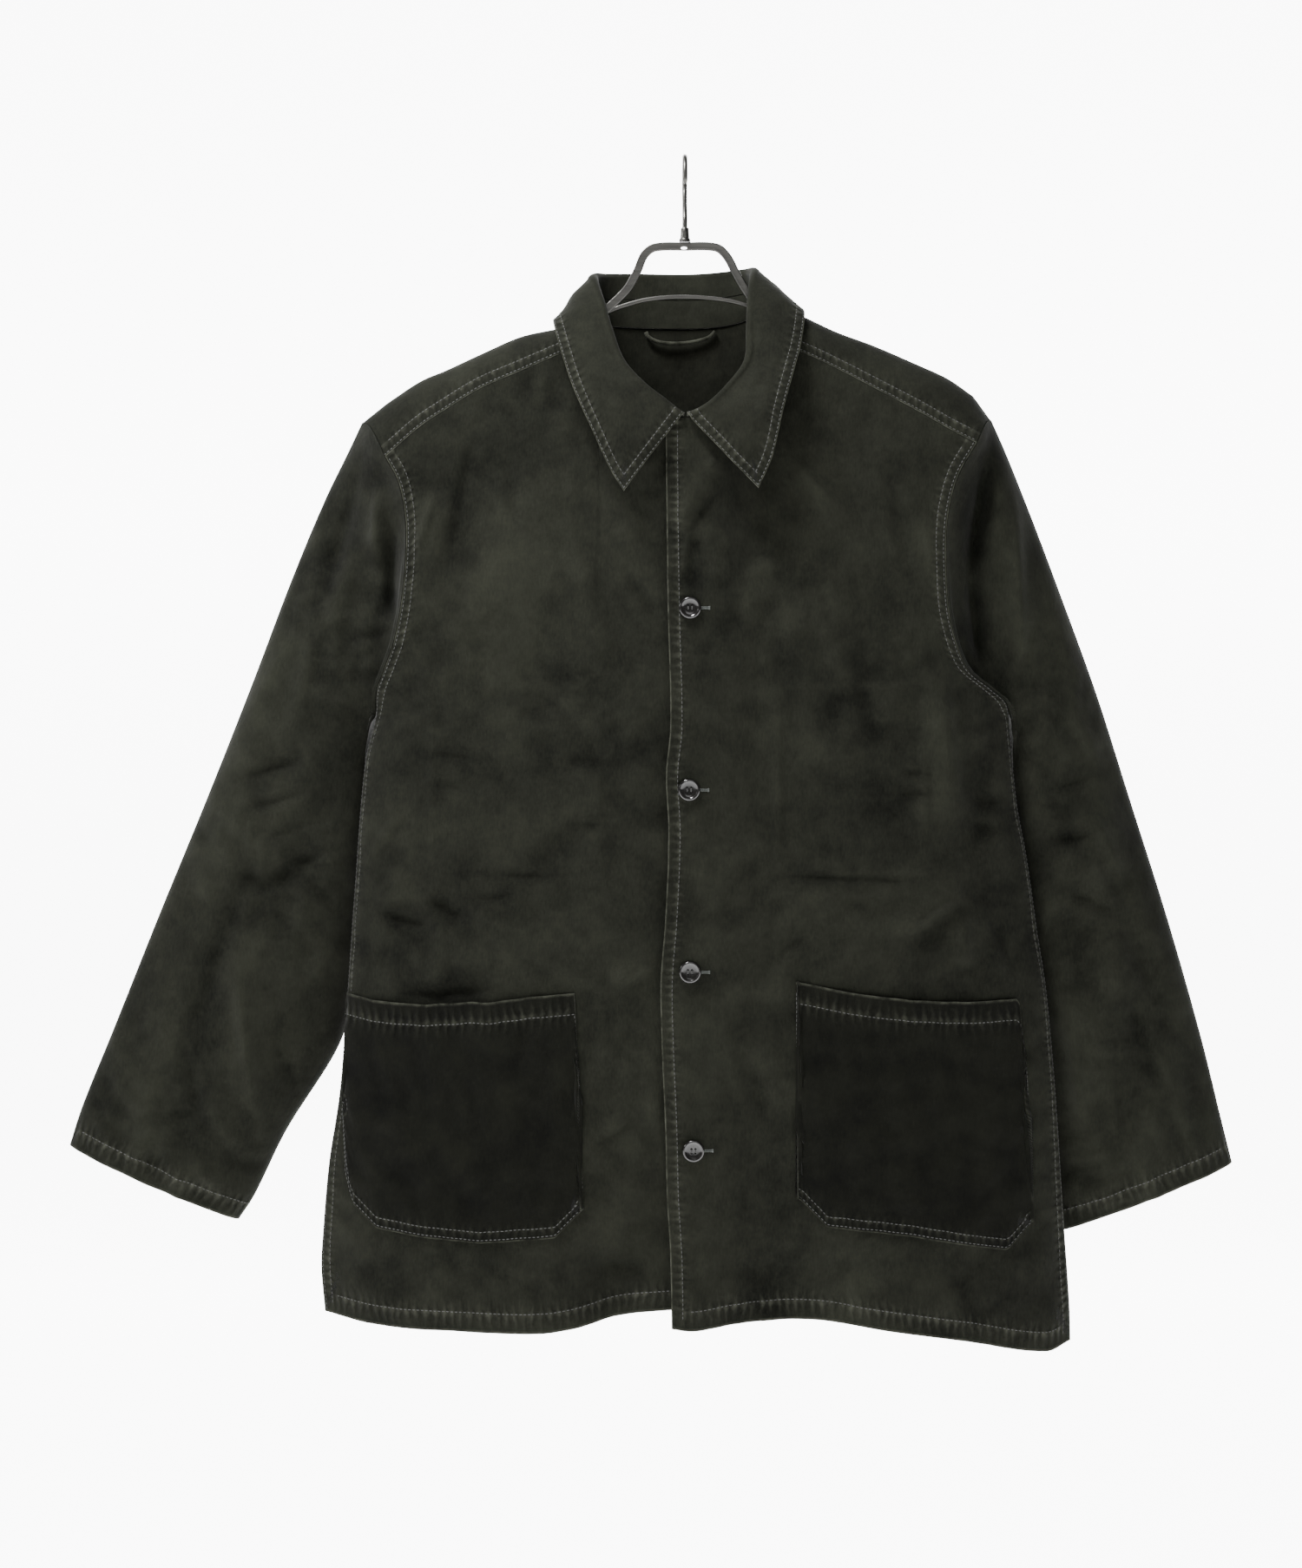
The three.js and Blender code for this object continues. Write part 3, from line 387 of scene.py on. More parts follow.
def lens(u, part):
    return (1 - clamp(u) ** 2.6) ** mix(0.5, 0.95, ease(0.92, 1.25, part))


def front_top(side, u, x):
    neck = NECK_AT[side]
    first_x, first_seam, first_out = (SHOULDER[side][name][0] for name in ("x", "seam", "out"))
    t = clamp((np.abs(x) - NECK_FLAT) / (abs(first_x) - NECK_FLAT))
    level = NECK_FRONT + (first_seam - NECK_FRONT) * (1 - np.sqrt(1 - t ** 2.2 * 0.97))
    z_neck = mix(level, mix(NECK_FRONT, first_seam, t), 0.25)
    y_neck = mix(-49.5, -first_out, t ** 1.5)
    y_seam = -read(SHOULDER[side], "x", x, "out")
    z_seam = read(SHOULDER[side], "x", x, "seam")
    return np.where(u < neck, y_neck, y_seam), np.where(u < neck, z_neck, z_seam)


def front_form(side, u, part):
    edge = FRONT_EDGE[side]
    low, high = clamp(part), clamp(part - 1)
    z_edge = np.where(part <= 1, mix(edge["z"][0], UNDERARM, low), mix(UNDERARM, NECK_FRONT, high))
    x_edge = read(edge, "z", z_edge, "x")
    end_x, end_y, end_z = side_point(side, part, -1)
    x = mix(x_edge, end_x, u)
    x_hem = mix(edge["x"][0], SIDE_SEAM[side]["x"][0], u)
    z = mix(z_edge, end_z, u)
    hem_base = mix(edge["z"][0], SIDE_SEAM[side]["z"][0], u)
    z = z + (read(HEM[side], "x", x_hem, "z") - hem_base) * ease(0.45, 0, low)
    middle = read(edge, "z", z_edge, "out")
    y = mix(end_y, -middle, lens(u, part))
    y = mix(y, -read(HEM[side], "x", x_hem, "out"), ease(0.5, 0, low))
    top_x, top_y, top_z = (float(value) for value in side_point(side, 2, -1))
    x_top = mix(read(edge, "z", NECK_FRONT, "x"), top_x, u)
    line_y, line_z = front_top(side, u, x_top)
    z = z + (line_z - mix(NECK_FRONT, top_z, u)) * high
    y = y + (line_y - mix(top_y, -49, lens(u, 2.0))) * ease(0.25, 1, high)
    if side == "left":
        y = y - OVERLAP * ease(58, 26, x)
    at_side = u >= 1
    return np.stack([np.where(at_side, end_x, x), np.where(at_side, end_y, y),
                     np.where(at_side, end_z, z)], -1)


def crest_point(side, u):
    neck = NECK_AT[side]
    start, end = NECK_SIDE[side], SHOULDER_POINT[side]
    angle = (1 - clamp(u / neck)) * math.pi / 2
    rows = SHOULDER[side]
    x_out = mix(start[0], end[0], clamp((u - neck) / (1 - neck)))
    beyond = np.abs(x_out) > abs(rows["x"][-1])
    z_end = mix(rows["crest"][-1], end[2], (x_out - rows["x"][-1]) / (end[0] - rows["x"][-1]))
    z_out = np.where(beyond, z_end, read(rows, "x", x_out, "crest"))
    behind = u < neck
    return np.stack([np.where(behind, start[0] * np.cos(angle) ** 0.9, x_out),
                     np.where(behind, BACK_DEPTH * np.sin(angle) ** 0.85, 0.0),
                     np.where(behind, mix(start[2], NECK_BACK, np.sin(angle)), z_out)], -1)


def over_crest(line, crest, t):
    angle = t * math.pi / 2
    return np.stack([mix(line[..., 0], crest[..., 0], t),
                     mix(line[..., 1], crest[..., 1], 1 - np.cos(angle)),
                     mix(line[..., 2], crest[..., 2], np.sin(angle))], -1)


def shoulder_form(side, u, t):
    return over_crest(front_form(side, u, np.full_like(u, 2.0)), crest_point(side, u), t)


def back_form(side, u, part):
    crest = crest_point(side, u)
    seam_end = [float(value) for value in side_point(side, 2, 1)]
    low, high = clamp(part), clamp(part - 1)
    end_x, end_y, end_z = side_point(side, np.minimum(part, 2), 1)
    middle = np.where(part <= 1, mix(HEM_LEVEL, UNDERARM, low), mix(UNDERARM, NECK_BACK - 34, high))
    x = mix(mix(0.0, end_x, u), mix(crest[..., 0], seam_end[0], u ** 6), ease(0.5, 1, high))
    line = crest[..., 2] - mix(32, crest[..., 2] - seam_end[2], ease(0.75, 1, u))
    z = mix(mix(middle, end_z, u), line, ease(0, 1, high) ** 1.3)
    deep = BACK_DEPTH * mix(0.86, 1, ease(0, 0.5, low))
    y = mix(end_y, deep, lens(u, part))
    top = np.where(u < NECK_AT[side], np.maximum(24, crest[..., 1] + 1), 24)
    y = mix(y, mix(top, end_y, u ** 6), ease(0.45, 1, high))
    at_side = u >= 1
    point = np.stack([np.where(at_side, end_x, x), np.where(at_side, end_y, y),
                      np.where(at_side, end_z, z)], -1)
    above = over_crest(point, crest, clamp(part - 2))
    return np.where((part <= 2)[..., None], point, above)


def weld(grids):
    """Joins grids of points, given as (points, flipped, fields), into one list of points and faces."""
    points, faces, fields, start = [], [], {}, 0
    for grid, flipped, values in grids:
        rows, columns = grid.shape[:2]
        index = np.arange(rows * columns).reshape(rows, columns) + start
        quads = np.stack([index[:-1, :-1], index[:-1, 1:], index[1:, 1:], index[1:, :-1]], -1).reshape(-1, 4)
        faces.append(quads[:, ::-1] if flipped else quads)
        points.append(grid.reshape(-1, 3))
        for name, value in values.items():
            fields.setdefault(name, []).append(value.reshape(-1))
        start += rows * columns
    points, faces = np.concatenate(points), np.concatenate(faces)
    fields = {name: np.concatenate(value) for name, value in fields.items()}
    _, first, place = np.unique(np.round(points * 20).astype(int), axis=0, return_index=True,
                                return_inverse=True)
    place = place.reshape(-1)
    return points[first], place[faces], {name: value[first] for name, value in fields.items()}


def normals_of(points, faces):
    a, b, c, d = (points[faces[:, k]] for k in range(4))
    way = np.cross(c - a, d - b)
    total = np.zeros_like(points)
    for k in range(4):
        np.add.at(total, faces[:, k], way)
    return total / np.maximum(np.linalg.norm(total, axis=1, keepdims=True), 1e-9)


def shell(name, grids, thickness, seam=0.15):
    """A wall of cloth: the outer points, the inner points below them and a rim round each edge."""
    points, faces, fields = weld(grids)
    normals = normals_of(points, faces)
    edges = np.concatenate([faces[:, [k, (k + 1) % 4]] for k in range(4)])
    edges = edges[edges[:, 0] != edges[:, 1]]
    count = len(points)
    codes = edges[:, 0] * count + edges[:, 1]
    open_edges = edges[~np.isin(codes, edges[:, 1] * count + edges[:, 0])]
    along = np.zeros_like(points)
    run = points[open_edges[:, 1]] - points[open_edges[:, 0]]
    np.add.at(along, open_edges[:, 0], run)
    np.add.at(along, open_edges[:, 1], run)
    inward = np.cross(normals, along)
    inward /= np.maximum(np.linalg.norm(inward, axis=1, keepdims=True), 1e-9)
    outer = points + inward * seam
    inner = outer - normals * thickness
    rims = np.stack([open_edges[:, 0], open_edges[:, 0] + count, open_edges[:, 1] + count,
                     open_edges[:, 1]], -1)
    all_faces = np.concatenate([faces, faces[:, ::-1] + count, rims])
    corners = [tuple(dict.fromkeys(face)) for face in all_faces.tolist()]
    piece = new_object(name, (np.concatenate([outer, inner]) * MM).tolist(),
                       [face for face in corners if len(face) > 2])
    piece.data.set_sharp_from_angle(angle=math.radians(60))
    for field, value in fields.items():
        attribute = piece.data.attributes.new(field, "FLOAT", "POINT")
        attribute.data.foreach_set("value", np.concatenate([value, value]).astype(np.float32))
    return piece


GRID = 3.0
PANEL_WIDE = 262
BELOW_ARM, ABOVE_ARM = 474, 228


def across_places(side):
    """Places from the middle to the side of a panel, closer together near its side seam."""
    even = np.linspace(0, 1 - 20 / PANEL_WIDE, int(PANEL_WIDE / GRID))
    edge = 1 - np.array([16.5, 13.2, 10.2, 7.6, 5.4, 3.6, 2.2, 1.2, 0.5, 0]) / PANEL_WIDE
    return np.unique(np.concatenate([even, edge, [NECK_AT[side]]]))


PARTS_LOW = np.linspace(0, 1, int(BELOW_ARM / GRID))
PARTS_HIGH = np.linspace(1, 2, int(ABOVE_ARM / GRID))
FRONT_PARTS = np.concatenate([PARTS_LOW, PARTS_HIGH[1:]])
CREST_PARTS = np.linspace(0, 1, 14)


def grid_of(form, side, across, parts):
    u, part = np.meshgrid(across, parts)
    return form(side, u, part)


CREASES = {
    "front_right": [
        (-203, -473, -164, -475, 4.5, -1.6), (-200, -498, -162, -500, 4.5, -1.5),
        (-230, -452, -196, -440, 5, 1.4), (-196, -268, -212, -318, 3.5, 1.8),
        (-165, -222, -186, -318, 5, -1.6), (-140, -232, -132, -296, 6, -1.2),
        (-200, -585, -170, -606, 4, -1.8), (-238, -597, -201, -608, 3.5, -1.8),
        (-170, -586, -134, -584, 4, -1.5), (-138, -568, -106, -570, 4.5, -1.6),
        (-92, -527, -62, -530, 4, -1.4), (-94, -478, -60, -482, 4.5, -1.5),
        (-222, -662, -150, -657, 3.5, -2), (-60, -654, -22, -630, 4, 1.8),
        (-90, -300, -60, -420, 9, 1.2), (-46, -330, -20, -372, 4, -1.3),
        (-225, -520, -252, -560, 5, 1.5), (-120, -880, -108, -915, 7, -1.6),
        (-190, -870, -200, -912, 8, 1.4), (-26, -720, -16, -800, 6, 1.3),
        (-70, -780, -40, -760, 4, -1.3), (-28, -880, -70, -868, 4, -1.2),
        (-199, -424, -199, -562, 3, 0.7), (-68, -424, -68, -560, 3, 0.6),
        (-196, -421, -72, -421, 3, 0.6), (-196, -566, -72, -567, 3, -0.8)],
    "front_left": [
        (203, -407, 212, -523, 5, 2), (168, -486, 196, -490, 4, -1.7), (166, -503, 194, -504, 4, -1.7),
        (226, -507, 248, -512, 4, -1.7), (226, -528, 250, -532, 4, -1.7),
        (164, -614, 216, -581, 5, 1.9), (219, -602, 219, -636, 4.5, 1.9),
        (82, -240, 126, -286, 3, 1.3), (15, -252, 26, -246, 4, 2.4), (22, -270, 2, -300, 5, -2),
        (3, -301, -4, -337, 3, 1.8), (60, -318, 40, -400, 10, 1.2), (130, -395, 150, -470, 8, -1.2),
        (100, -610, 60, -640, 5, -1.3), (240, -600, 262, -650, 5, -1.6), (30, -560, 60, -540, 5, 1.3),
        (40, -700, 66, -760, 6, -1.3), (130, -876, 140, -915, 8, 1.4), (210, -880, 232, -920, 7, -1.6),
        (28, -880, 50, -912, 6, 1.3), (72, -424, 72, -566, 2.6, 0.9), (187, -424, 187, -560, 3, 0.8),
        (76, -421, 184, -419, 3, 0.8), (74, -568, 188, -572, 2.8, -1.7), (78, -580, 186, -584, 5, 1.1),
        (186, -290, 205, -360, 5, 1.5), (160, -250, 176, -330, 7, -1.3)],
    "back": [
        (-180, -260, -215, -330, 5, 1.8), (175, -262, 210, -345, 5, 1.8),
        (-120, -300, -60, -322, 6, -1.5), (60, -290, 128, -318, 6, -1.5),
        (-205, -455, -160, -470, 4, -2), (-210, -480, -170, -500, 4, -1.7),
        (208, -462, 160, -482, 4, -2), (214, -490, 176, -508, 4, -1.7),
        (-90, -560, -40, -574, 5, -1.4), (30, -610, 90, -596, 5, -1.5),
        (-150, -640, -110, -662, 5, 1.5), (130, -680, 176, -660, 5, -1.5),
        (-40, -700, -30, -820, 9, 1.5), (70, -720, 96, -850, 9, 1.6),
        (-200, -820, -180, -910, 8, -1.6), (190, -800, 210, -900, 8, 1.6),
        (0, -340, 12, -440, 10, 1.2), (-60, -420, -84, -520, 9, 1.3)],
    "sleeve_right": [
        (-252, -224, -284, -346, 6, -2.4), (-243, -262, -244, -316, 4, 2.2),
        (-300, -474, -350, -490, 4.5, -2), (-296, -500, -352, -520, 4, -2),
        (-290, -548, -330, -570, 4.5, -2), (-310, -582, -350, -588, 4.5, 1.8),
        (-355, -640, -337, -784, 5, 2.2), (-310, -380, -350, -440, 6, 1.8),
        (-280, -360, -300, -430, 6, -1.8), (-400, -700, -380, -780, 6, -1.8),
        (-420, -760, -440, -800, 5, 1.6), (-330, -690, -310, -740, 5, -1.7),
        (-231, -296, -230, -364, 6, -4), (-262, -300, -318, -470, 9, 2.2),
        (-345, -560, -392, -700, 8, -2.2), (-296, -420, -262, -440, 6, 2),
        (-398, -800, -412, -850, 6, 1.8)],
    "sleeve_left": [
        (238, -244, 226, -330, 8, -4.5), (227, -328, 236, -398, 7, -4), (282, -290, 316, -440, 9, 2.2),
        (335, -560, 372, -660, 8, -2.2), (262, -440, 300, -420, 6, 2), (366, -800, 384, -850, 6, 1.8),
        (243, -214, 225, -330, 5, -2.6), (225, -330, 233, -404, 4, -2.2),
        (262, -260, 266, -396, 5, 2.2), (322, -520, 346, -564, 5, 2), (288, -500, 330, -490, 4.5, -2),
        (292, -540, 326, -536, 4.5, -1.9), (300, -580, 346, -600, 4.5, -2),
        (304, -666, 315, -770, 5, 2.2), (300, -420, 330, -480, 6, 1.8),
        (350, -660, 380, -740, 6, -1.8), (390, -740, 410, -800, 5, 1.6),
        (340, -700, 350, -780, 5, -1.6)]}


def crumples(x, z, seed):
    """Small uneven crumples, under half a millimetre high, from a few crossed and bent waves."""
    height = np.zeros_like(x)
    for k, (long, turn) in enumerate(((61, 0.4), (47, 1.5), (33, 2.5), (26, 0.9), (19, 2.0), (15, 0.1))):
        way = turn + seed
        bend = 9 * np.sin((x * math.sin(way) - z * math.cos(way)) / (long * 0.8) + k + seed * 3)
        wave = np.sin((x * math.cos(way) + z * math.sin(way) + bend) * 2 * math.pi / long + k * 2.1)
        near = 0.5 + 0.5 * np.sin(x / (41 + 7 * k) + z / (57 - 5 * k) + seed * 5 + k)
        height += wave * near ** 2 * long * 0.014
    return height


SEAM_CALM = 14


def creased(panel, x, z, seed, deep=1.0):
    """All the folds, creases and crumples of a panel."""
    creases = 1.5 * fold_height(panel, x, z, CREASES)
    return fold_height(panel, x, z) + creases + deep * crumples(x, z, seed)


def folded(panel, grid, direction):
    lift = creased(panel, grid[..., 0], grid[..., 2], len(panel))
    for edge in ("last row", "last column"):
        lift *= clamp(from_edge(grid, edge)[0] / SEAM_CALM)
    grid = grid.copy()
    grid[..., 1] += direction * lift
    return grid, lift


# The fold height at which the painted light and shade on the folds come near their full strength.
FOLD_SHADING_HEIGHT = 2.2


def painted_fold_shading(lift):
    """How much the cloth is painted paler on its fold ridges and darker in its troughs: painted light and
    shade.
    """
    return {"painted_fold_shading": np.tanh(lift / FOLD_SHADING_HEIGHT)}


fronts, shoulders, backs, lifts = {}, {}, {}, {}
for side in ("right", "left"):
    across = across_places(side)
    front = grid_of(front_form, side, across, FRONT_PARTS)
    fronts[side], lifts[f"front_{side}"] = folded(f"front_{side}", front, -1)
    shoulders[side] = grid_of(shoulder_form, side, across[across >= NECK_AT[side] - 1e-9], CREST_PARTS)
    back = grid_of(back_form, side, across, np.concatenate([FRONT_PARTS, 2 + CREST_PARTS[1:]]))
    lift = creased("back", back[..., 0], back[..., 2], 1)
    lift *= clamp(from_edge(back, "last column")[0] / SEAM_CALM)
    lift[len(FRONT_PARTS) - 1:] = 0
    lift[:len(FRONT_PARTS)] *= clamp(from_edge(back[:len(FRONT_PARTS)], "last row")[0] / 40)
    back[..., 1] += lift
    lifts[f"back_{side}"] = lift
    backs[side] = back

PLACKET, HEM_BAND, FELL = 9.5, 16.0, 8.5
panels = {}
for side in ("right", "left"):
    fields = bands(fronts[side], {"first row": HEM_BAND, "first column": PLACKET, "last column": FELL})
    fields |= painted_fold_shading(lifts[f"front_{side}"])
    panels[f"front_{side}"] = shell(f"front_{side}_cloth", [(fronts[side], side == "right", fields)],
                                    CLOTH)
back_fields, top_fields = {}, {}
for side in ("right", "left"):
    back_fields[side] = bands(backs[side], {"first row": HEM_BAND, "last column": FELL})
    back_fields[side] |= painted_fold_shading(lifts[f"back_{side}"])
    top_fields[side] = bands(shoulders[side], {"first row": FELL})
    top_fields[side] |= painted_fold_shading(np.zeros(shoulders[side].shape[:2]))
panels["back"] = shell("back_cloth", [
    (backs["right"], False, back_fields["right"]), (backs["left"], True, back_fields["left"]),
    (shoulders["right"], True, top_fields["right"]), (shoulders["left"], False, top_fields["left"])],
    CLOTH)
for node, piece in panels.items():
    piece.data.materials.append(BODY_CLOTH)
    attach(piece, "root")
    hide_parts(node)

# The sleeves.
# Two tubes of the same cloth, set in at the armholes with a felled seam and hemmed at the cuffs; they
# hang beside and a little behind the body.
SLEEVE = {}
SLEEVE["right"] = table("part out_x out_z in_x in_z half back", [
    (0, -256, -209, -245, -441.6, 29, 0), (0.06, -269, -232, -247, -462, 27, 13),
    (0.14, -288, -268, -248, -488, 28, 22), (0.25, -315, -331, -250, -528, 31, 27),
    (0.4, -349, -420, -258, -588, 33, 28), (0.55, -385, -510, -265, -651, 32, 30),
    (0.7, -422, -600, -277, -705, 31, 30), (0.85, -459, -693, -320, -775, 29, 29),
    (0.95, -484, -755, -345, -826, 27, 28), (1, -494, -786, -358, -846, 25, 28)])
SLEEVE["left"] = table("part out_x out_z in_x in_z half back", [
    (0, 243, -207, 257.4, -441.6, 29, 0), (0.06, 256, -231, 256, -462, 27, 13),
    (0.14, 272, -267, 257, -490, 28, 22), (0.25, 297, -331, 260, -533, 31, 27),
    (0.4, 330, -421, 268, -600, 33, 28), (0.55, 359, -511, 278, -668, 32, 30),
    (0.7, 389, -606, 285, -733, 31, 30), (0.85, 416, -702, 290, -795, 29, 29),
    (0.95, 432, -768, 296, -838, 27, 28), (1, 440, -800, 300, -855, 25, 28)])
FOLD_RADIUS = 9.4
SLEEVE_GAP = 0.6
SLEEVE_CLEAR = 3.0


def armhole_loop(side, turn):
    q = turn / math.pi * 12
    one = np.ones_like(q)
    top = shoulder_form(side, one, clamp(1 - q / 3))
    front = front_form(side, one, 2 - clamp((q - 3) / 9))
    rear = back_form(side, one, 1 + clamp((q - 12) / 9))
    rear_top = back_form(side, one, 2 + clamp((q - 21) / 3))
    where = [q[..., None] <= limit for limit in (3, 12, 21)]
    return np.where(where[0], top, np.where(where[1], front, np.where(where[2], rear, rear_top)))


def sleeve_form(side, part, turn):
    rows = SLEEVE[side]
    across = (1 + np.cos(turn)) / 2
    x = mix(read(rows, "part", part, "in_x"), read(rows, "part", part, "out_x"), across)
    z = mix(read(rows, "part", part, "in_z"), read(rows, "part", part, "out_z"), across)
    y = read(rows, "part", part, "back") - read(rows, "part", part, "half") * np.sin(turn)
    return np.stack([x, y, z], -1)


def outside_body(side, point, part):
    x, y, z = point[..., 0], point[..., 1], point[..., 2]
    edge = np.where(z > UNDERARM, read(ARMHOLE[side], "z", z, "x"), read(SIDE_SEAM[side], "z", z, "x"))
    room = np.maximum(0, y) ** 2 / (2 * FOLD_RADIUS) * 0.7 * ease(UNDERARM + 10, UNDERARM - 70, z)
    clear = SLEEVE_CLEAR * ease(0, 0.02, part) * mix(1, 0.3, ease(0.1, 0.22, part))
    wide = np.abs(edge) + clear - room
    return np.stack([np.sign(edge) * np.maximum(np.abs(x), wide), y, z], -1)


SLEEVE_LONG = 640
sleeve_grids = {}
for side in ("right", "left"):
    turns = np.linspace(0, 2 * math.pi, int(400 / GRID))
    turns = np.unique(np.concatenate([turns, [math.pi]]))
    near = np.linspace(0, 0.24, int(0.24 * SLEEVE_LONG / GRID))
    far = np.linspace(0.24, 1, int(0.76 * SLEEVE_LONG / GRID))[1:]
    turn, part = np.meshgrid(turns, np.concatenate([near, far]))
    hold = (1 - ease(0, 0.2, part)) ** 1.2
    form = sleeve_form(side, part, turn)
    start = sleeve_form(side, np.zeros_like(part), turn)
    point = form + (armhole_loop(side, turn) - start) * hold[..., None]
    facing = -np.sin(turn)
    lift = 1.3 * creased(f"sleeve_{side}", point[..., 0], point[..., 2], 2.3, 1.8)
    lift *= np.where(facing < 0, 1, 0.7)
    lift *= ease(0, 0.02, part)
    point[..., 1] += facing * lift
    point = np.where((part > 0)[..., None], outside_body(side, point, part), point)
    point[..., 0] += SLEEVE_GAP * (-1 if side == "right" else 1)
    point[:, -1] = point[:, 0]
    sleeve_grids[side] = point
    fields = bands(point, {"last row": HEM_BAND}) | painted_fold_shading(lift / 2)
    sleeve = shell(f"sleeve_{side}_cloth", [(point, side == "right", fields)], CLOTH)
    sleeve.data.materials.append(BODY_CLOTH)
    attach(sleeve, "root")
    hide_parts(f"sleeve_{side}")

# The collar.
# A stand sewn to the neck edge and a pointed leaf that rolls over it, each two layers of the cloth
# with an interlining; the leaf is topstitched twice along its edge.
COLLAR = table("part fold_x fold_y fold_z edge_x edge_y edge_z roll", [
    (0, -1, -58.5, -208.5, -48, -64, -270, 3), (0.05, -16, -55, -196.5, -58.5, -62, -253, 3),
    (0.1, -31, -49.5, -184, -72, -57, -223.5, 3.2), (0.15, -46.6, -39, -165, -88, -47, -187, 3.6),
    (0.2, -55.5, -27, -140, -98.5, -34, -154, 4), (0.25, -61, -16, -120.5, -104, -17, -133, 4.2),
    (0.3, -67, -2, -98, -104, 3, -127, 4.4), (0.35, -68, 14, -88, -98, 25, -130, 4.6),
    (0.4, -58, 32, -84, -80, 46, -136, 4.6), (0.45, -34, 43, -82, -44, 60, -139, 4.6),
    (0.5, 0, 46, -82, 0, 64, -140, 4.6), (0.55, 28, 42, -81, 38, 59, -136, 4.6),
    (0.6, 46, 30, -81, 64, 45, -130, 4.6), (0.65, 50, 13, -85, 84, 25, -122, 4.6),
    (0.7, 50, -2, -94, 92, 4, -119, 4.4), (0.75, 48.5, -14, -109, 94.5, -17, -125, 4.2),
    (0.8, 46.5, -27, -140, 90.5, -34, -152, 4), (0.85, 45, -38, -165, 84, -47, -176, 3.6),
    (0.9, 31, -49.5, -186, 75.5, -58, -207, 3.2), (0.95, 15, -56.5, -201.5, 67, -65, -243, 3.8),
    (1, 1, -60.5, -208.5, 56, -68, -268, 4)])
COLLAR_CLOTH = 2.2
STAND = 31
STAND_ABOVE = 0.7
LEAF_BOW = 3
LEAF_GAP = 0.5


def unit(way):
    return way / np.maximum(np.linalg.norm(way, axis=-1, keepdims=True), 1e-9)


def neck_edge(side):
    neck = NECK_AT[side]
    start = -3 if side == "right" else 3
    edge_x = float(read(FRONT_EDGE[side], "z", NECK_FRONT, "x"))
    end_x = float(side_point(side, 2, -1)[0])
    u = np.linspace((start - edge_x) / (end_x - edge_x), neck, 40)
    ahead = front_form(side, u, np.full_like(u, 2.0))
    t = np.linspace(0, 1, 14)[1:]
    beside = shoulder_form(side, np.full_like(t, neck), t)
    back = np.linspace(neck, 0, 34)[1:]
    behind = back_form(side, back, np.full_like(back, 3.0))
    return np.concatenate([ahead, beside, behind])


def resample(points, count):
    lengths = np.concatenate([[0], np.cumsum(np.linalg.norm(np.diff(points, axis=0), axis=1))])
    at = np.linspace(0, lengths[-1], count)
    return np.stack([np.interp(at, lengths, points[:, k]) for k in range(3)], -1), at / lengths[-1]


neck_points = np.concatenate([neck_edge("right"), neck_edge("left")[::-1][1:]])
seam, along_neck = resample(neck_points, int(420 / GRID))


def columns(names, at):
    return np.stack([read(COLLAR, "part", at, name) for name in names.split()], -1)


FOLD_LINE, EDGE_LINE = "fold_x fold_y fold_z", "edge_x edge_y edge_z"
folded_at = columns(FOLD_LINE, along_neck)
tangent = columns(FOLD_LINE, clamp(along_neck + 0.02)) - columns(FOLD_LINE, clamp(along_neck - 0.02))
roll = read(COLLAR, "part", along_neck, "roll")[:, None]
tall = np.linalg.norm(folded_at - seam, axis=1)
rise = unit(folded_at - seam)
out = unit(np.cross(rise, tangent))
within = (2.7 + 0.5 * ease(0.2, 0.1, along_neck) + 1.7 * ease(0.8, 0.9, along_neck))[:, None]
foot = seam - out * within + rise * STAND_ABOVE
centre = folded_at - rise * roll + out * (roll - within + 2)
under = centre - out * roll
reach = np.linalg.norm(under - foot, axis=1)
share = np.minimum(0.6, np.minimum(STAND, tall * 0.5) / reach)[:, None]
stand_top = foot + (under - foot) * share
ahead = under - stand_top
gap = np.minimum(LEAF_GAP, np.linalg.norm(ahead, axis=1) * 0.7)[:, None]
stand_rows = [mix(foot, stand_top, t) for t in np.linspace(0, 1, 10)]
leaf_start = stand_top + unit(ahead) * gap
leaf_rows = [mix(leaf_start, under, t) for t in np.linspace(0, 0.9, 6)]
for angle in np.radians(np.linspace(180, 0, 15)):
    leaf_rows.append(centre + out * roll * math.cos(angle) + rise * roll * math.sin(angle))
leaf_edge = columns(EDGE_LINE, along_neck)
leaf_out = centre + out * roll
for t in np.linspace(0, 1, int(60 / GRID))[1:]:
    uneven = crumples(along_neck * 420, np.full_like(along_neck, t * 62), 3.3) * math.sin(math.pi * t)
    bow = LEAF_BOW * math.sin(math.pi * t) + uneven
    leaf_rows.append(mix(leaf_out, leaf_edge, t) + out * bow[:, None])
stand_grid, leaf_grid = np.stack(stand_rows), np.stack(leaf_rows)
plain = {"fold": np.full(stand_grid.shape[:2], 9.0), "run": np.zeros(stand_grid.shape[:2]),
         "pucker": np.zeros(stand_grid.shape[:2])}
stand = shell("collar_stand_cloth", [(stand_grid, False, plain)], COLLAR_CLOTH)
leaf_bands = bands(leaf_grid, {"last row": 8.0, "first column": 8.0, "last column": 8.0})
leaf = shell("collar_leaf_cloth", [(leaf_grid, False, leaf_bands)], COLLAR_CLOTH)
for node, piece in (("collar_stand", stand), ("collar_leaf", leaf)):
    piece.data.materials.append(BODY_CLOTH)
    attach(piece, "root")
    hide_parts(node)

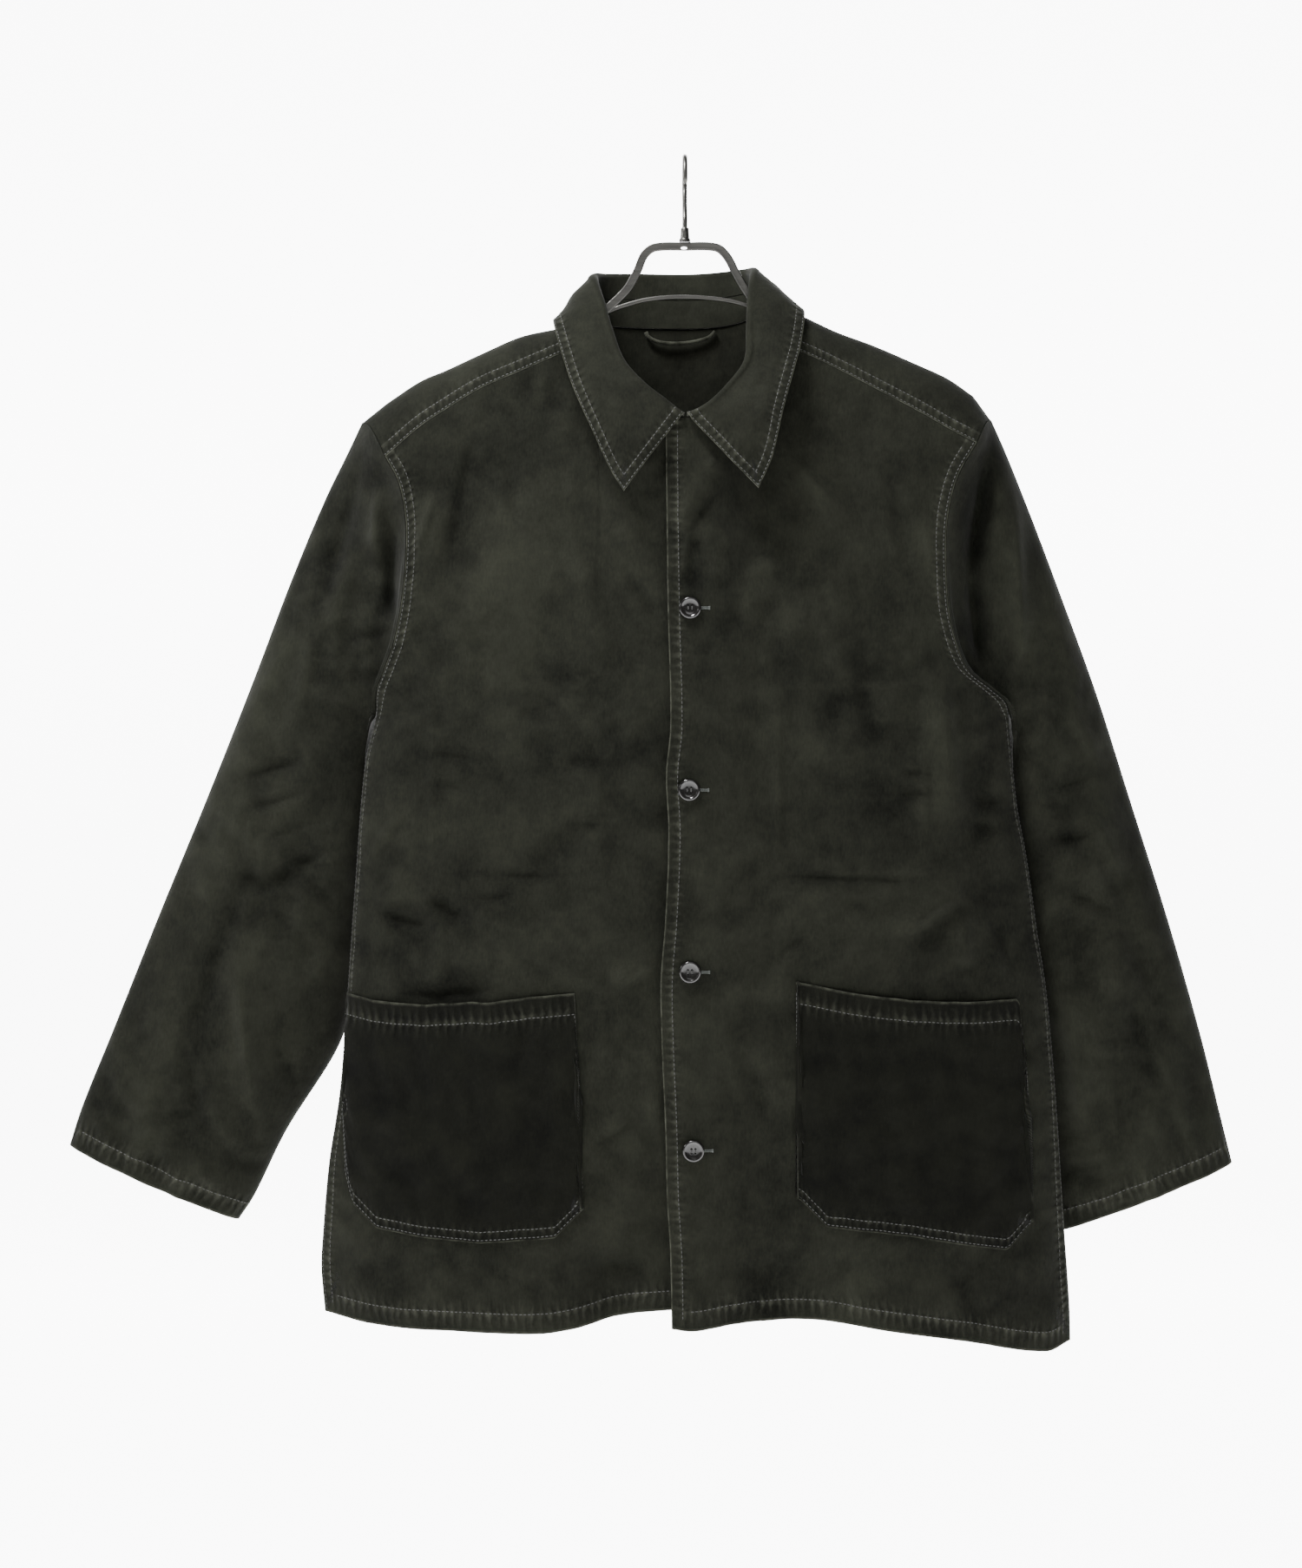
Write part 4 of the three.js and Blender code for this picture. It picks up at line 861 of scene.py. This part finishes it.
# The patch pockets.
# Two large patches with a turned-down mouth and cut-off lower corners, stitched to the fronts by two
# rows at their sides and bottom.
POCKETS = {}
POCKETS["right"] = {"lift": 3, "middle": -170, "flat": (0.192, 0.205), "area": 0.038}
POCKETS["right"]["outline"] = table("x z", [
    (-267, -661.5), (-246, -666), (-203, -669.5), (-155, -667), (-120, -662), (-85, -658.8),
    (-82, -740), (-80.3, -828), (-102, -850), (-160, -854.5), (-205, -851), (-242, -845),
    (-262.5, -826), (-269, -794), (-270, -750)])
POCKETS["left"] = {"lift": 3, "middle": 176, "flat": (0.192, 0.218), "area": 0.041}
POCKETS["left"]["outline"] = table("x z", [
    (86, -650), (102, -653), (129, -658.5), (176, -665), (218, -667), (263, -665), (269, -728),
    (272.5, -841), (252.5, -862), (176, -849.5), (111, -842), (87.5, -818), (86.5, -697)])
POCKET_GAP = 0.3


def on_front(side, x, z):
    """The place on a front's outer face at x and z, found by stepping up it."""
    u = np.zeros_like(x)
    part = np.full_like(x, 0.5)
    for _ in range(12):
        here = front_form(side, u, part)
        beyond = front_form(side, clamp(u + 0.002), part)
        higher = front_form(side, u, part + 0.002)
        u = np.clip(u + (x - here[..., 0]) / (beyond[..., 0] - here[..., 0]) * 0.002, 0, 0.998)
        part = np.clip(part + (z - here[..., 2]) / (higher[..., 2] - here[..., 2]) * 0.002, 0, 1.995)
    here = front_form(side, u, part)
    lift = creased(f"front_{side}", here[..., 0], here[..., 2], len(side) + 6)
    here[..., 1] -= lift * clamp((1 - u) * PANEL_WIDE / SEAM_CALM)
    return here


def outline_grid(outline, step):
    """Points in an outline: columns that run from its bottom curve up to its mouth."""
    xs, zs = outline["x"], outline["z"]
    low, high = xs.min() + 0.01, xs.max() - 0.01
    columns_at = np.linspace(low, high, int((high - low) / step))
    rows = int((zs.max() - zs.min()) / step)
    grid = []
    for x in columns_at:
        found = []
        for i in range(len(xs)):
            k = (i + 1) % len(xs)
            if (xs[i] - x) * (xs[k] - x) <= 0 and xs[i] != xs[k]:
                found.append(mix(zs[i], zs[k], (x - xs[i]) / (xs[k] - xs[i])))
        grid.append([(x, z) for z in np.linspace(min(found), max(found), rows)])
    return np.array(grid).transpose(1, 0, 2)


def grid_normals(grid):
    along = np.gradient(grid, axis=1)
    up = np.gradient(grid, axis=0)
    return unit(np.cross(along, up))


pocket_grids = {}
for side in ("right", "left"):
    pocket = POCKETS[side]
    flat = outline_grid(pocket["outline"], GRID)
    base = on_front(side, flat[..., 0], flat[..., 1])
    normal = grid_normals(base)
    mouth = pocket["outline"]["z"][0]
    raised = POCKET_GAP + CLOTH + pocket["lift"] * ease(mouth - 60, mouth + 5, flat[..., 1]) * ease(
        95, 15, np.abs(flat[..., 0] - pocket["middle"]))
    inside = clamp(np.min([from_edge(base, edge)[0] for edge in (
        "first row", "last row", "first column", "last column")], axis=0) / 24)
    own = inside * 1.1 * crumples(flat[..., 0], flat[..., 1], 4.1)
    raised += inside * 0.9 + own
    grid = base + normal * raised[..., None]
    pocket_grids[side] = grid
    fields = bands(grid, {"first row": 9.0, "last row": 17.0, "first column": 9.0, "last column": 9.0})
    fields |= painted_fold_shading(own + creased(f"front_{side}", flat[..., 0], flat[..., 1], len(side) + 6))
    piece = shell(f"pocket_{side}_cloth", [(grid, False, fields)], CLOTH, seam=0)
    piece.data.materials.append(SHADED_POCKET_CLOTH)
    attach(piece, "root")
    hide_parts(f"pocket_{side}")

# The buttons.
# Four pressed four-hole buttons with a raised rim, dark and glossy, sewn through the under-front with
# dark thread and passed through worked buttonholes.
BUTTONS = [(3.4, -359.5), (2.7, -500.8), (3.4, -642.3), (6.1, -781.3)]
BUTTON_SHANK = 0.3
HOLE_AWAY = 1.55
HOLE_RADIUS = 0.85
THREAD_RADIUS = 0.42


def lathe(name, profile, steps):
    """A turned body about its own Z axis from (radius, height) pairs that start and end on the axis."""
    points, faces = [], []
    for radius, height in profile:
        if radius < 1e-6:
            points.append((0, 0, height * MM))
            continue
        for i in range(steps):
            turn = 2 * math.pi * i / steps
            points.append((radius * MM * math.cos(turn), radius * MM * math.sin(turn), height * MM))
    start = 0
    for (radius, _), (following, _) in zip(profile, profile[1:]):
        here = 1 if radius < 1e-6 else steps
        after = start + here
        for i in range(steps):
            k = (i + 1) % steps
            if here == 1:
                faces.append((start, after + i, after + k))
            elif following < 1e-6:
                faces.append((start + i, after, start + k))
            else:
                faces.append((start + i, after + i, after + k, start + k))
        start = after
    return new_object(name, points, faces)


def tube(points, radius, steps):
    """The points and faces of a round bar along a line."""
    points = np.asarray(points, float)
    ways = unit(np.gradient(points, axis=0))
    helper = np.array([0.0, 1.0, 0.0])
    if abs(ways[0] @ helper) > 0.9:
        helper = np.array([1.0, 0.0, 0.0])
    side_way = np.cross(ways[0], helper)
    vertices, faces = [], []
    radii = np.broadcast_to(radius, len(points))
    for i, (point, way) in enumerate(zip(points, ways)):
        side_way = unit(side_way - way * (side_way @ way))
        up = np.cross(way, side_way)
        for k in range(steps):
            turn = 2 * math.pi * k / steps
            vertices.append(point + (side_way * math.cos(turn) + up * math.sin(turn)) * radii[i])
    for i in range(len(points) - 1):
        for k in range(steps):
            j = (k + 1) % steps
            faces.append((i * steps + k, i * steps + j, (i + 1) * steps + j, (i + 1) * steps + k))
    faces.append(tuple(range(steps))[::-1])
    faces.append(tuple(range((len(points) - 1) * steps, len(points) * steps)))
    return vertices, faces


def joined(name, bodies):
    """One object from several (points, faces) bodies."""
    vertices, faces = [], []
    for points, sides in bodies:
        start = len(vertices)
        vertices += [tuple(np.asarray(point) * MM) for point in points]
        faces += [tuple(start + i for i in side) for side in sides]
    return new_object(name, vertices, faces)


def drilled(piece, bodies):
    """Cuts bodies out of a piece."""
    cutter = joined("cutter", bodies)
    cut = piece.modifiers.new("holes", "BOOLEAN")
    cut.object = cutter
    cut.solver = "EXACT"
    bpy.context.view_layer.update()
    graph = bpy.context.evaluated_depsgraph_get()
    mesh = bpy.data.meshes.new_from_object(piece.evaluated_get(graph))
    piece.modifiers.clear()
    piece.data = mesh
    bpy.data.objects.remove(cutter)


BUTTON_PROFILE = [(0, 0), (6.6, 0), (7.6, 0.25), (8.3, 0.9), (8.6, 1.6), (8.45, 2.3), (8.0, 2.8),
                  (7.4, 3.0), (6.8, 2.95), (6.3, 2.7), (5.9, 2.3), (5.2, 2.05), (3.6, 1.85), (0, 1.8)]
button_look, button_shader, button_place = new_look("button", Roughness=0.17, Specular_IOR_Level=0.3)
button_colour = button_place.noise(300.0).colours((0.0015, 0.0014, 0.0013), (0.004, 0.0037, 0.0034))
button_look.node_tree.links.new(button_colour.socket, button_shader.inputs["Base Color"])
for number, (x, z) in enumerate(BUTTONS, 1):
    at = on_front("left", np.array([x]), np.array([z]))[0]
    button = lathe(f"button_{number}_face", BUTTON_PROFILE, 64)
    drill_points = [(math.cos(a) * HOLE_AWAY * 1.414, math.sin(a) * HOLE_AWAY * 1.414)
                    for a in np.radians([45, 135, 225, 315])]
    drilled(button, [tube([(px, py, -1), (px, py, 4)], HOLE_RADIUS, 16) for px, py in drill_points])
    button.data.shade_smooth()
    button.data.set_sharp_from_angle(angle=math.radians(50))
    button.location = (at[0] * MM, (at[1] - BUTTON_SHANK) * MM, at[2] * MM)
    button.rotation_euler = (math.radians(90), 0, 0)
    button.data.materials.append(button_look)
    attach(button, "root")
    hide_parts(f"button_{number}")

# The buttonholes.
# Straight worked slits that run from each button toward the wearer's left, in a paler green thread;
# the button's own thread crosses its four holes twice.
BUTTONHOLE_FROM, BUTTONHOLE_TO = 4, 14.2
BUTTONHOLE_WIDE = 2.0


def on_placket(x, z, out):
    """Places on the over front, moved out of it."""
    x, z, out = np.broadcast_arrays(*(np.asarray(value, float) for value in (x, z, out)))
    places = on_front("left", x, z)
    places[..., 1] -= out
    return places


hole_thread, hole_shader, hole_place = new_look("buttonhole thread", Roughness=0.75)
hole_colour = hole_place.noise(800.0).colours((0.003, 0.0045, 0.0033), (0.012, 0.0165, 0.0125))
hole_thread.node_tree.links.new(hole_colour.socket, hole_shader.inputs["Base Color"])
dark_thread, dark_shader, dark_place = new_look("button thread", Roughness=0.8)
dark_colour = dark_place.noise(800.0).colours((0.0015, 0.0015, 0.0013), (0.006, 0.006, 0.005))
dark_thread.node_tree.links.new(dark_colour.socket, dark_shader.inputs["Base Color"])
for number, (x, z) in enumerate(BUTTONS, 1):
    reach = x + np.linspace(BUTTONHOLE_FROM, BUTTONHOLE_TO, 20)[:, None]
    half = BUTTONHOLE_WIDE / 2
    strands = []
    for way in (-1, 1):
        lines = on_placket(reach, z + way * np.array([0.15, 0.6 * half, half]), [0.25, 0.42, -0.1])
        strands += [tube(line, 0.24, 6) for line in lines]
    ends = x + BUTTONHOLE_TO + np.array([0.4, 0.8, 1.2])[:, None]
    lines = on_placket(ends, z + np.array([-1.3, 0, 1.3]), [-0.1, 0.5, -0.1])
    strands += [tube(line, 0.26, 6) for line in lines]
    worked = joined(f"buttonhole_{number}", strands)
    worked.data.materials.append(hole_thread)
    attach(worked, "root")
    face = on_placket(x, z, BUTTON_SHANK).reshape(3)
    ties = []
    for across in (-HOLE_AWAY, HOLE_AWAY):
        for shift in (-0.25, 0.25):
            line = [face + np.array([across + shift, -1.0, -HOLE_AWAY]),
                    face + np.array([across + shift, -2.1, -HOLE_AWAY * 0.6]),
                    face + np.array([across + shift, -2.25, 0]),
                    face + np.array([across + shift, -2.1, HOLE_AWAY * 0.6]),
                    face + np.array([across + shift, -1.0, HOLE_AWAY])]
            ties.append(tube(line, THREAD_RADIUS * 0.6, 8))
    tie = joined(f"button_{number}_thread", ties)
    tie.data.materials.append(dark_thread)
    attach(tie, "root")

# The hanging loop.
# A thin round cord of rolled cloth whose two ends are caught in the neck seam at the back.
LOOP = table("x y z", [
    (-31, 37, -131), (-29, 37, -135), (-20, 38, -139), (-6, 38.8, -140), (8, 38.8, -138.5),
    (20, 38, -135), (25, 37.2, -130.5)])
CORD_RADIUS = 1.6


def smooth_line(points, count):
    """Even points on a smooth curve through the given ones."""
    points = np.asarray(points, float)
    lengths = np.concatenate([[0], np.cumsum(np.linalg.norm(np.diff(points, axis=0), axis=1))])
    rows = {"at": lengths, "x": points[:, 0], "y": points[:, 1], "z": points[:, 2]}
    at = np.linspace(0, lengths[-1], count)
    return np.stack([read(rows, "at", at, name) for name in "xyz"], -1)


loop_line = smooth_line(np.stack([LOOP["x"], LOOP["y"], LOOP["z"]], -1), 60)
loop = joined("hanging_loop_cord", [tube(loop_line, CORD_RADIUS, 14)])
loop.data.materials.append(BODY_CLOTH)
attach(loop, "root")
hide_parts("hanging_loop")

# The hanger.
# Satin steel: a flat bar bent into an arch with two long arms for the shoulders, a thinner brace
# welded across the arch, a small turned ferrule on top and a round wire hook above it.
BAR_HIGH = 6.5
BAR_THICK = 3
BAR_END = 216
BAR_BELOW = BAR_HIGH / 2 + CLOTH + 2.2
ARCH = [(-73, -130.5), (-63, -119.8), (-46, -103), (-38, -89), (-32, -75.5), (-24, -69.8), (0, -69),
        (25, -69.8), (33.5, -77), (40.5, -90), (49, -104.5), (58.2, -116)]
BRACE = [(-64, -122), (-50, -116.5), (-30, -111.2), (-5, -109), (20, -110), (40, -113), (55, -117.5),
         (66, -121)]
BAR_CORNER = 0.9


def shoulder_bar(side):
    start = 0.07 if side == "right" else 0.05
    line = []
    for t in np.arange(start, 1, 0.075):
        crest = crest_point(side, np.array([mix(NECK_AT[side], 1, t)]))[0]
        if abs(crest[0]) < BAR_END:
            line.append((crest[0], crest[2] - BAR_BELOW))
    return line


def flat_bar(line, high, deep, corner, count):
    """A bar of rounded flat section swept along a smooth line in the XZ plane."""
    line = smooth_line([(x, 0, z) for x, z in line], count)
    ways = unit(np.gradient(line, axis=0))
    ring = []
    for cx, cy, start in ((1, 1, 0), (-1, 1, 90), (-1, -1, 180), (1, -1, 270)):
        for angle in np.radians(np.linspace(start, start + 90, 5)):
            ring.append((cx * (deep / 2 - corner) + corner * math.cos(angle),
                         cy * (high / 2 - corner) + corner * math.sin(angle)))
    vertices = []
    for i, (point, way) in enumerate(zip(line, ways)):
        normal = np.array([-way[2], 0, way[0]])
        close = 0.55 if i in (0, count - 1) else 1
        for across, up in ring:
            vertices.append(point + np.array([0, across * close, 0]) + normal * up * close)
    steps = len(ring)
    faces = [(i * steps + k, i * steps + (k + 1) % steps, (i + 1) * steps + (k + 1) % steps,
              (i + 1) * steps + k) for i in range(count - 1) for k in range(steps)]
    faces.append(tuple(range(steps))[::-1])
    faces.append(tuple(range((count - 1) * steps, count * steps)))
    return vertices, faces


bar_line = shoulder_bar("right")[::-1] + ARCH + shoulder_bar("left")
steel, steel_shader, steel_place = new_look("satin steel", Metallic=1.0)
brushed = steel_place.stretched((40.0, 400.0, 900.0)).noise(1.0, 3.0)
steel_colour = brushed.colours((0.022, 0.0215, 0.02), (0.06, 0.059, 0.055))
steel.node_tree.links.new(steel_colour.socket, steel_shader.inputs["Base Color"])
steel_rough = brushed * 0.15 + 0.27
steel.node_tree.links.new(steel_rough.socket, steel_shader.inputs["Roughness"])
bar = joined("hanger_bar_steel", [flat_bar(bar_line, BAR_HIGH, BAR_THICK, BAR_CORNER, 220)])
OVAL_X, OVAL_Z, OVAL_STRETCH = -0.7, -70.3, 2.1
hole_points, hole_faces = tube([(OVAL_X, -3, OVAL_Z), (OVAL_X, 3, OVAL_Z)], 1.25, 20)
hole_points = [(OVAL_X + (x - OVAL_X) * OVAL_STRETCH, y, z) for x, y, z in hole_points]
drilled(bar, [(hole_points, hole_faces)])
brace = joined("hanger_brace_steel", [flat_bar(BRACE, 3, 2.4, 0.6, 60)])
for piece in (bar, brace):
    piece.data.set_sharp_from_angle(angle=math.radians(60))
    piece.data.materials.clear()
    piece.data.materials.append(steel)
    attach(piece, "root")
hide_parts("hanger_bar")

FERRULE = [(0, -65.4), (4.2, -65.4), (4.5, -65.1), (4.5, -63.4), (4.2, -63), (3.7, -62.6), (3.4, -58.5),
           (3.2, -54.9), (2.9, -54.4), (0, -54.4)]
ferrule = lathe("hanger_ferrule_steel", FERRULE, 48)
ferrule.data.set_sharp_from_angle(angle=math.radians(40))
ferrule.data.materials.append(steel)
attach(ferrule, "root")
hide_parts("hanger_ferrule")

HOOK_WIRE, HOOK_RADIUS, HOOK_CENTRE = 2, 18, -16
hook_line = [(0, 0, -54.1), (0, 0, -47), (0, 4.5, -39), (0, 11, -31)]
for angle in np.radians(np.arange(-22, 206, 16)):
    hook_line.append((0, HOOK_RADIUS * math.cos(angle), HOOK_CENTRE + HOOK_RADIUS * math.sin(angle)))
wire = smooth_line(hook_line, 120)
wire_radius = np.full(len(wire), float(HOOK_WIRE))
wire_radius[-4:] = [1.9, 1.7, 1.3, 0.7]
hook = joined("hanger_hook_wire", [tube(wire, wire_radius, 20)])
hook.data.materials.append(steel)
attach(hook, "root")
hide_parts("hanger_hook")

# The sewing.
# Rows of matt thread, a little lighter than the cloth, about three stitches to the centimetre; each
# stitch is a short raised strand whose ends go down into the cloth.
STITCH_PITCH = 3.4
STITCH_LONG = 2.5
STITCH_WIDE = 0.36
STITCH_RAISED = 0.2
STITCH_SUNK = 0.15
POCKET_ROWS, POCKET_MOUTH_ROW = (2.2, 8.6), 16.6
COLLAR_ROWS = (1.6, 7.8)


def turned_grid(grid, edge):
    """A grid whose first row is the named edge."""
    if "last row" == edge:
        return grid[::-1]
    if "first column" == edge:
        return grid.swapaxes(0, 1)
    return grid[:, ::-1].swapaxes(0, 1) if edge == "last column" else grid


def stitch_line(grid, flipped, edge, distance):
    """The places and outward ways of the stitches that run at a distance inside a grid's edge."""
    normals = grid_normals(grid) * (-1 if flipped else 1)
    points, ways = turned_grid(grid, edge), turned_grid(normals, edge)
    steps = np.linalg.norm(np.diff(points, axis=0), axis=-1)
    away = np.concatenate([np.zeros((1, points.shape[1])), np.cumsum(steps, axis=0)])
    line = []
    for j in range(points.shape[1]):
        line.append([np.interp(distance, away[:, j], values[:, j, k])
                     for values in (points, ways) for k in range(3)])
    line = np.array(line)
    length = np.concatenate([[0], np.cumsum(np.linalg.norm(np.diff(line[:, :3], axis=0), axis=1))])
    at = np.arange(distance, length[-1] - distance, STITCH_PITCH)
    ends = [np.stack([np.interp(at + shift, length, line[:, k]) for k in range(6)], -1)
            for shift in (0, STITCH_LONG / 2, STITCH_LONG)]
    return np.stack(ends, axis=1)


def sewn(name, rows, look):
    """One object of all the stitches of some rows, each row given by stitch_line."""
    rows = np.concatenate(rows)
    places, ways = rows[..., :3], unit(rows[..., 3:])
    along = unit(places[:, 2] - places[:, 0])[:, None]
    beside = unit(np.cross(ways, along))
    heights = np.array([-STITCH_SUNK, STITCH_RAISED, -STITCH_SUNK])[None, :, None]
    widths = np.array([0.55, 1.0, 0.55])[None, :, None] * STITCH_WIDE
    middle = places + ways * heights
    ring = np.stack([middle + beside * widths, middle + ways * widths * 0.8, middle - beside * widths,
                     middle - ways * widths * 0.6], axis=2)
    count = len(rows)
    index = np.arange(count * 12).reshape(count, 3, 4)
    around = np.roll(index, -1, axis=2)
    faces = np.stack([index[:, :-1], index[:, 1:], around[:, 1:], around[:, :-1]], -1).reshape(-1, 4)
    piece = new_object(name, (ring.reshape(-1, 3) * MM).tolist(), faces.tolist())
    piece.data.materials.append(look)
    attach(piece, "root")


thread, thread_shader, thread_place = new_look("thread", Roughness=0.7)
twist = thread_place.noise(900.0).colours((0.0009, 0.001, 0.0008), (0.0048, 0.005, 0.0039))
thread.node_tree.links.new(twist.socket, thread_shader.inputs["Base Color"])

for side in ("right", "left"):
    flipped = side == "right"
    front, sleeve = fronts[side], sleeve_grids[side]
    sewn(f"stitches_front_{side}", [
        stitch_line(front, flipped, "first row", HEM_BAND * 0.97),
        stitch_line(front, flipped, "first column", PLACKET * 0.97),
        stitch_line(front, flipped, "last column", FELL * 0.25),
        stitch_line(front, flipped, "last column", FELL)], thread)
    sewn(f"stitches_back_{side}", [
        stitch_line(backs[side], not flipped, "first row", HEM_BAND * 0.97),
        stitch_line(backs[side], not flipped, "last column", FELL * 0.25),
        stitch_line(backs[side], not flipped, "last column", FELL),
        stitch_line(shoulders[side], flipped, "first row", FELL * 0.2),
        stitch_line(shoulders[side], flipped, "first row", FELL)], thread)
    sewn(f"stitches_sleeve_{side}", [
        stitch_line(sleeve, flipped, "last row", HEM_BAND * 0.97)], thread)
    pocket = pocket_grids[side]
    rows = [stitch_line(pocket, False, edge, away)
            for edge in ("first row", "first column", "last column") for away in POCKET_ROWS]
    rows.append(stitch_line(pocket, False, "last row", POCKET_MOUTH_ROW))
    sewn(f"stitches_pocket_{side}", rows, thread)
sewn("stitches_collar", [stitch_line(leaf_grid, False, edge, away)
                         for edge in ("last row", "first column", "last column")
                         for away in COLLAR_ROWS], thread)
